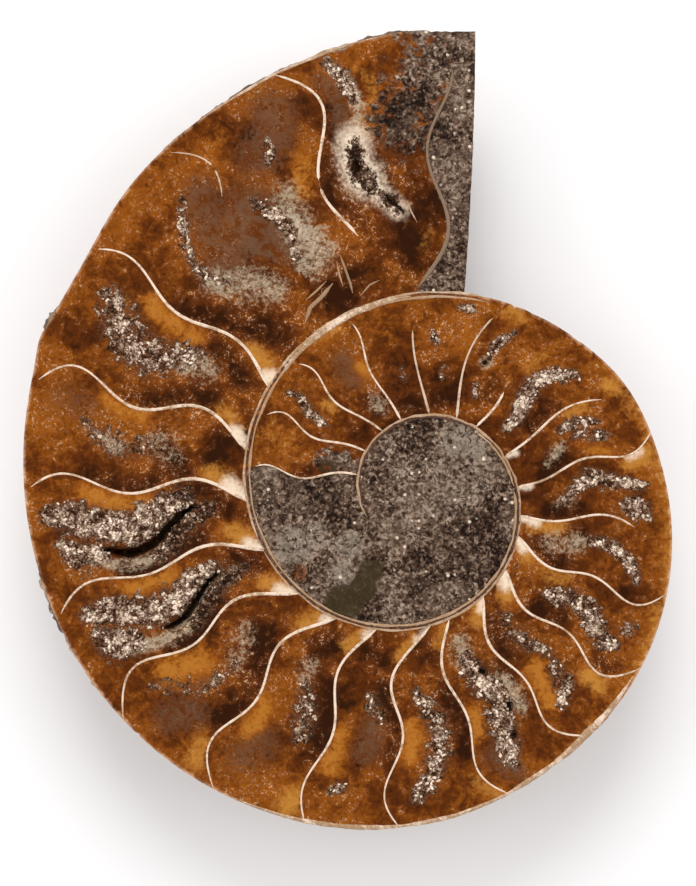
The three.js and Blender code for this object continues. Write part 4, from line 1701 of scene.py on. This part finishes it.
def dot_material(finish):
    """Dark brown, with fine specks."""
    material, tree, shader = new_material("seam_dots")
    speck = noise(tree, 0.0004, object_place(tree), 3, 0.7, 0.0, 2.6)
    shade = mixed(tree, speck, (*finish.dark, 1), (*finish.brown, 1))
    tree.links.new(shade, shader.inputs["Base Color"])
    shader.inputs["Roughness"].default_value = 0.55
    return material


class AMMONITE_OT_wall_dots(bpy.types.Operator):
    """Set the dark dots in the seam between the whorls"""

    bl_idname = "ammonite.wall_dots"
    bl_label = "Wall Dots"

    def execute(self, context):
        coil, finish = context.scene.ammonite_coil, context.scene.ammonite_finish
        wander = np.random.default_rng(23)
        lines = []
        for first, last, inside in DOT_ROWS:
            count = int((last - first) / DOT_STEP)
            t = np.radians(np.linspace(first, last, count) + wander.uniform(-0.7, 0.7, count))
            height = wall_radius(coil, t) - wall_radius(coil, t + TURN)
            across = 1 - (inside + wander.uniform(-0.07, 0.07, count)) * MILLIMETRE / height
            lines.append((t, across, wander.uniform(0.35, 1.2, count), 0.0))
        tree = dot_tree(coil, coil_middle(coil), dot_material(finish))
        values = TreeSizes.values(coil, dot=DOT_SIZE)
        finished(plain_mesh("seam_dots", line_mesh("seam_dots", lines), tree, values))
        return {"FINISHED"}


def from_ends(count):
    """How many points each point of a line is from the nearer end."""
    return np.minimum(np.arange(count), np.arange(count)[::-1])


def scrap_lines(coil):
    """Lines of the scraps, with their turns and heights found from their places."""
    lines = []
    for half, dull, *points in SHELL_SCRAPS:
        x, y = (side * MILLIMETRE for side in between(points, SCRAP_STEPS))
        t = (np.arctan2(y, x) - coil.mouth) % TURN
        inner, outer = wall_radius(coil, t + TURN), wall_radius(coil, t)
        across = (np.hypot(x, y) - inner) / (outer - inner)
        ends = np.clip(from_ends(len(t)) / 5, 0.3, 1)
        lines.append((t, across, half * MILLIMETRE * ends, dull))
    return lines


FLAKE_RINGS = 22
# Flakes of shell that stand on the rim: degrees back from the mouth, half length in degrees,
# how far out and how far down in mm, and how pale from 0 to 1.
RIM_FLAKES = (
    (11.5, 3.4, 0.5, 1.5, 0.25),
    (18.5, 3.0, 0.35, 1.1, 0.6),
    (24.5, 2.2, 0.35, 1.2, 0.35),
    (29.5, 3.0, 0.4, 1.3, 0.2),
    (35.0, 2.0, 0.28, 1.0, 0.5),
    (40.5, 2.6, 0.2, 0.9, 0.6),
    (69.5, 1.8, 0.6, 1.6, 0.3),
    (107.0, 2.4, 0.5, 1.6, 0.5),
    (111.5, 2.4, 0.55, 1.9, 0.3),
    (116.5, 2.2, 0.35, 1.2, 0.7),
    (122.5, 2.4, 0.3, 1.2, 0.75),
    (160.0, 4.0, 0.25, 1.3, 0.95),
    (171.0, 5.0, 0.3, 1.5, 1.0),
    (182.0, 3.6, 0.28, 1.2, 0.95),
    (193.0, 4.6, 0.34, 1.6, 0.95),
    (203.0, 3.6, 0.4, 1.7, 0.85),
    (211.0, 3.0, 0.34, 1.4, 0.8),
    (219.0, 3.0, 0.26, 1.2, 0.7),
)


def flake_rings(coil, middle, flake, wander):
    """The rings of corners that a flake of shell is lofted through, from one end to the other."""
    at, half, out, down, _ = flake
    share = np.linspace(-1, 1, FLAKE_RINGS)
    t = np.radians(at + share * half)
    knots = np.arange(0, FLAKE_RINGS + 2, 2)
    torn, ragged = (
        np.interp(np.arange(FLAKE_RINGS), knots, wander.uniform(least, 1.1, len(knots)))
        for least in (0.3, 0.25)
    )
    reaches = out * (np.sqrt(np.clip(1 - share**2, 0, 1)) * torn) * MILLIMETRE
    drops = down * (0.25 + 0.75 * (1 - share**2) * ragged) * MILLIMETRE
    walls = wall_radius(coil, t)
    rings = []
    for wall, bearing, reach, drop in zip(walls, t + coil.mouth, reaches, drops):
        ring = (
            (-0.00040, -0.00004),
            (reach * 0.75, -0.00012),
            (reach, -0.00045),
            (reach * 0.7, -drop * 0.6),
            (-0.0001, -drop),
            (-0.0008, -drop * 0.6),
        )
        places = []
        for step, z in ring:
            x = middle[0] + (wall + step) * math.cos(bearing)
            y = middle[1] + (wall + step) * math.sin(bearing)
            places.append((x, y, FACE_HEIGHT + z))
        rings.append(places)
    return rings


def flake_mesh(coil, middle):
    """All the flakes as one mesh, each a closed loft, with how pale it is on its points."""
    wander = np.random.default_rng(31)
    shape = bmesh.new()
    pale_layer = shape.verts.layers.float.new("shade")
    for flake in RIM_FLAKES:
        rings = []
        for ring in flake_rings(coil, middle, flake, wander):
            corners = [shape.verts.new(place) for place in ring]
            for corner in corners:
                corner[pale_layer] = flake[-1]
            rings.append(corners)
        for left, right in zip(rings[:-1], rings[1:]):
            for k, corner in enumerate(left):
                after = (k + 1) % len(left)
                shape.faces.new((corner, left[after], right[after], right[k]))
        shape.faces.new(rings[0])
        shape.faces.new(rings[-1][::-1])
    bmesh.ops.recalc_face_normals(shape, faces=shape.faces)
    for face in shape.faces:
        face.smooth = True
    mesh = bpy.data.meshes.new("rim_flakes")
    shape.to_mesh(mesh)
    shape.free()
    return mesh


def flake_material(finish):
    """Shell from grey-brown to cream, as pale as each flake's 'shade' says."""
    material, tree, shader = new_material("rim_flake")
    mottle = noise(tree, 0.0009, object_place(tree), 4, 0.7, 0.4, 3.0)
    shade = ramp(
        tree,
        attribute(tree, "shade") + (mottle - 0.5) * 0.5,
        (0.0, (0.030, 0.020, 0.015)),
        (0.3, (0.130, 0.085, 0.055)),
        (0.65, (0.480, 0.340, 0.230)),
        (0.95, tuple(finish.cream)),
    )
    tree.links.new(shade, shader.inputs["Base Color"])
    tree.links.new((mottle * 0.3 + 0.35).socket, shader.inputs["Roughness"])
    tree.links.new(bump(tree, mottle, 0.0002), shader.inputs["Normal"])
    return material


class AMMONITE_OT_rim_flakes(bpy.types.Operator):
    """Lay flakes of shell along the rim"""

    bl_idname = "ammonite.rim_flakes"
    bl_label = "Rim Flakes"

    def execute(self, context):
        coil, finish = context.scene.ammonite_coil, context.scene.ammonite_finish
        mesh = flake_mesh(coil, coil_middle(coil))
        mesh.materials.append(flake_material(finish))
        mesh.set_sharp_from_angle(angle=math.radians(FLAKE_SHARP))
        piece = bpy.data.objects.new("rim_flakes", mesh)
        context.scene.collection.objects.link(piece)
        finished(piece)
        return {"FINISHED"}


class AMMONITE_OT_crystals(bpy.types.Operator):
    """Stand small crystals in the druse bands"""

    bl_idname = "ammonite.crystals"
    bl_label = "Crystals"

    def execute(self, context):
        stone = bpy.data.objects["ammonite_stone"]
        tree = crystal_tree(crystal_material(context.scene.ammonite_finish))
        values = {**CRYSTALS, "Seed": CRYSTAL_SEED}
        finished(plain_mesh("druse_crystals", stone.data.copy(), tree, values))
        return {"FINISHED"}


# The lights, all aimed at the origin: name, place, width in metres and power in watts.
LIGHTS = (
    ("key", (-0.04, 0.70, 0.52), 0.55, 4.6),
    ("right", (0.66, 0.1, 0.44), 0.6, 1.3),
    ("left", (-0.66, 0.1, 0.44), 0.6, 1.3),
    ("low", (0.0, -0.66, 0.4), 0.5, 0.5),
)
SKY_COLOUR = (1.0, 0.99, 0.98, 1)
SKY_STRENGTH = 0.72
FLOOR_REACH = 1.5
SENSOR_WIDTH = 36
# Where the camera stands, across and along from the middle of the coil.
CAMERA_OFFSET = (-0.01189, 0.00663)


def soft_light(name, place, size, power):
    lamp = bpy.data.lights.new(name, "AREA")
    lamp.shape = "DISK"
    lamp.size = size
    lamp.energy = power
    item = bpy.data.objects.new(name, lamp)
    item.location = place
    aim = Vector((0, 0, 0)) - Vector(place)
    item.rotation_euler = aim.to_track_quat("-Z", "Y").to_euler()
    bpy.context.scene.collection.objects.link(item)


class AMMONITE_OT_stage(bpy.types.Operator):
    """Lay the floor, hang the lights and set the camera above the stone"""

    bl_idname = "ammonite.stage"
    bl_label = "Stage"

    def execute(self, context):
        coil, stage = context.scene.ammonite_coil, context.scene.ammonite_stage
        middle = coil_middle(coil)
        side = FLOOR_REACH
        corners = [(-side, -side, 0), (side, -side, 0), (side, side, 0), (-side, side, 0)]
        floor = bpy.data.objects.new("floor", mesh_from("floor", corners, [(0, 1, 2, 3)], {}))
        context.scene.collection.objects.link(floor)
        material, _, shader = new_material("floor_paper")
        shader.inputs["Base Color"].default_value = (*stage.floor, 1)
        shader.inputs["Roughness"].default_value = 0.9
        shader.inputs["Specular IOR Level"].default_value = 0.1
        floor.data.materials.append(material)

        world = bpy.data.worlds.new("studio")
        world.use_nodes = True
        background = world.node_tree.nodes["Background"]
        background.inputs["Color"].default_value = SKY_COLOUR
        background.inputs["Strength"].default_value = SKY_STRENGTH
        context.scene.world = world
        for light in LIGHTS:
            soft_light(*light)

        lens = bpy.data.cameras.new("camera")
        lens.lens = stage.lens
        lens.sensor_width = SENSOR_WIDTH
        camera = bpy.data.objects.new("camera", lens)
        far = stage.field * stage.lens / SENSOR_WIDTH
        x, y = (at + offset for at, offset in zip(middle, CAMERA_OFFSET))
        camera.location = (x, y, FACE_HEIGHT + far)
        context.scene.collection.objects.link(camera)
        context.scene.camera = camera
        context.scene.view_settings.view_transform = "Standard"
        return {"FINISHED"}


class AMMONITE_PT_panel(bpy.types.Panel):
    """Lists the pieces in the order that they are made"""

    bl_label = "Ammonite"
    bl_space_type = "VIEW_3D"
    bl_region_type = "UI"
    bl_category = "Ammonite"

    def draw(self, context):
        column = self.layout.column(align=True)
        for operator in OPERATORS:
            column.operator(operator.bl_idname)
        for group in ("ammonite_coil", "ammonite_finish", "ammonite_stage"):
            settings = getattr(context.scene, group)
            box = self.layout.box()
            for name in settings.bl_rna.properties.keys():
                if name not in ("rna_type", "name"):
                    box.prop(settings, name)


OPERATORS = (
    AMMONITE_OT_stone,
    AMMONITE_OT_chamber_walls,
    AMMONITE_OT_whorl_walls,
    AMMONITE_OT_wall_dots,
    AMMONITE_OT_rim_flakes,
    AMMONITE_OT_crystals,
    AMMONITE_OT_stage,
)
GROUPS = {
    "ammonite_coil": AmmoniteCoil,
    "ammonite_finish": AmmoniteFinish,
    "ammonite_stage": AmmoniteStage,
}


def register():
    for kind in (*GROUPS.values(), *OPERATORS, AMMONITE_PT_panel):
        bpy.utils.register_class(kind)
    for name, kind in GROUPS.items():
        setattr(bpy.types.Scene, name, bpy.props.PointerProperty(type=kind))


def unregister():
    for name in GROUPS:
        delattr(bpy.types.Scene, name)
    for kind in reversed((*GROUPS.values(), *OPERATORS, AMMONITE_PT_panel)):
        bpy.utils.unregister_class(kind)


def main():
    register()
    for operator in OPERATORS:
        getattr(bpy.ops.ammonite, operator.bl_idname.split(".")[1])()


if __name__ == "__main__":
    main()
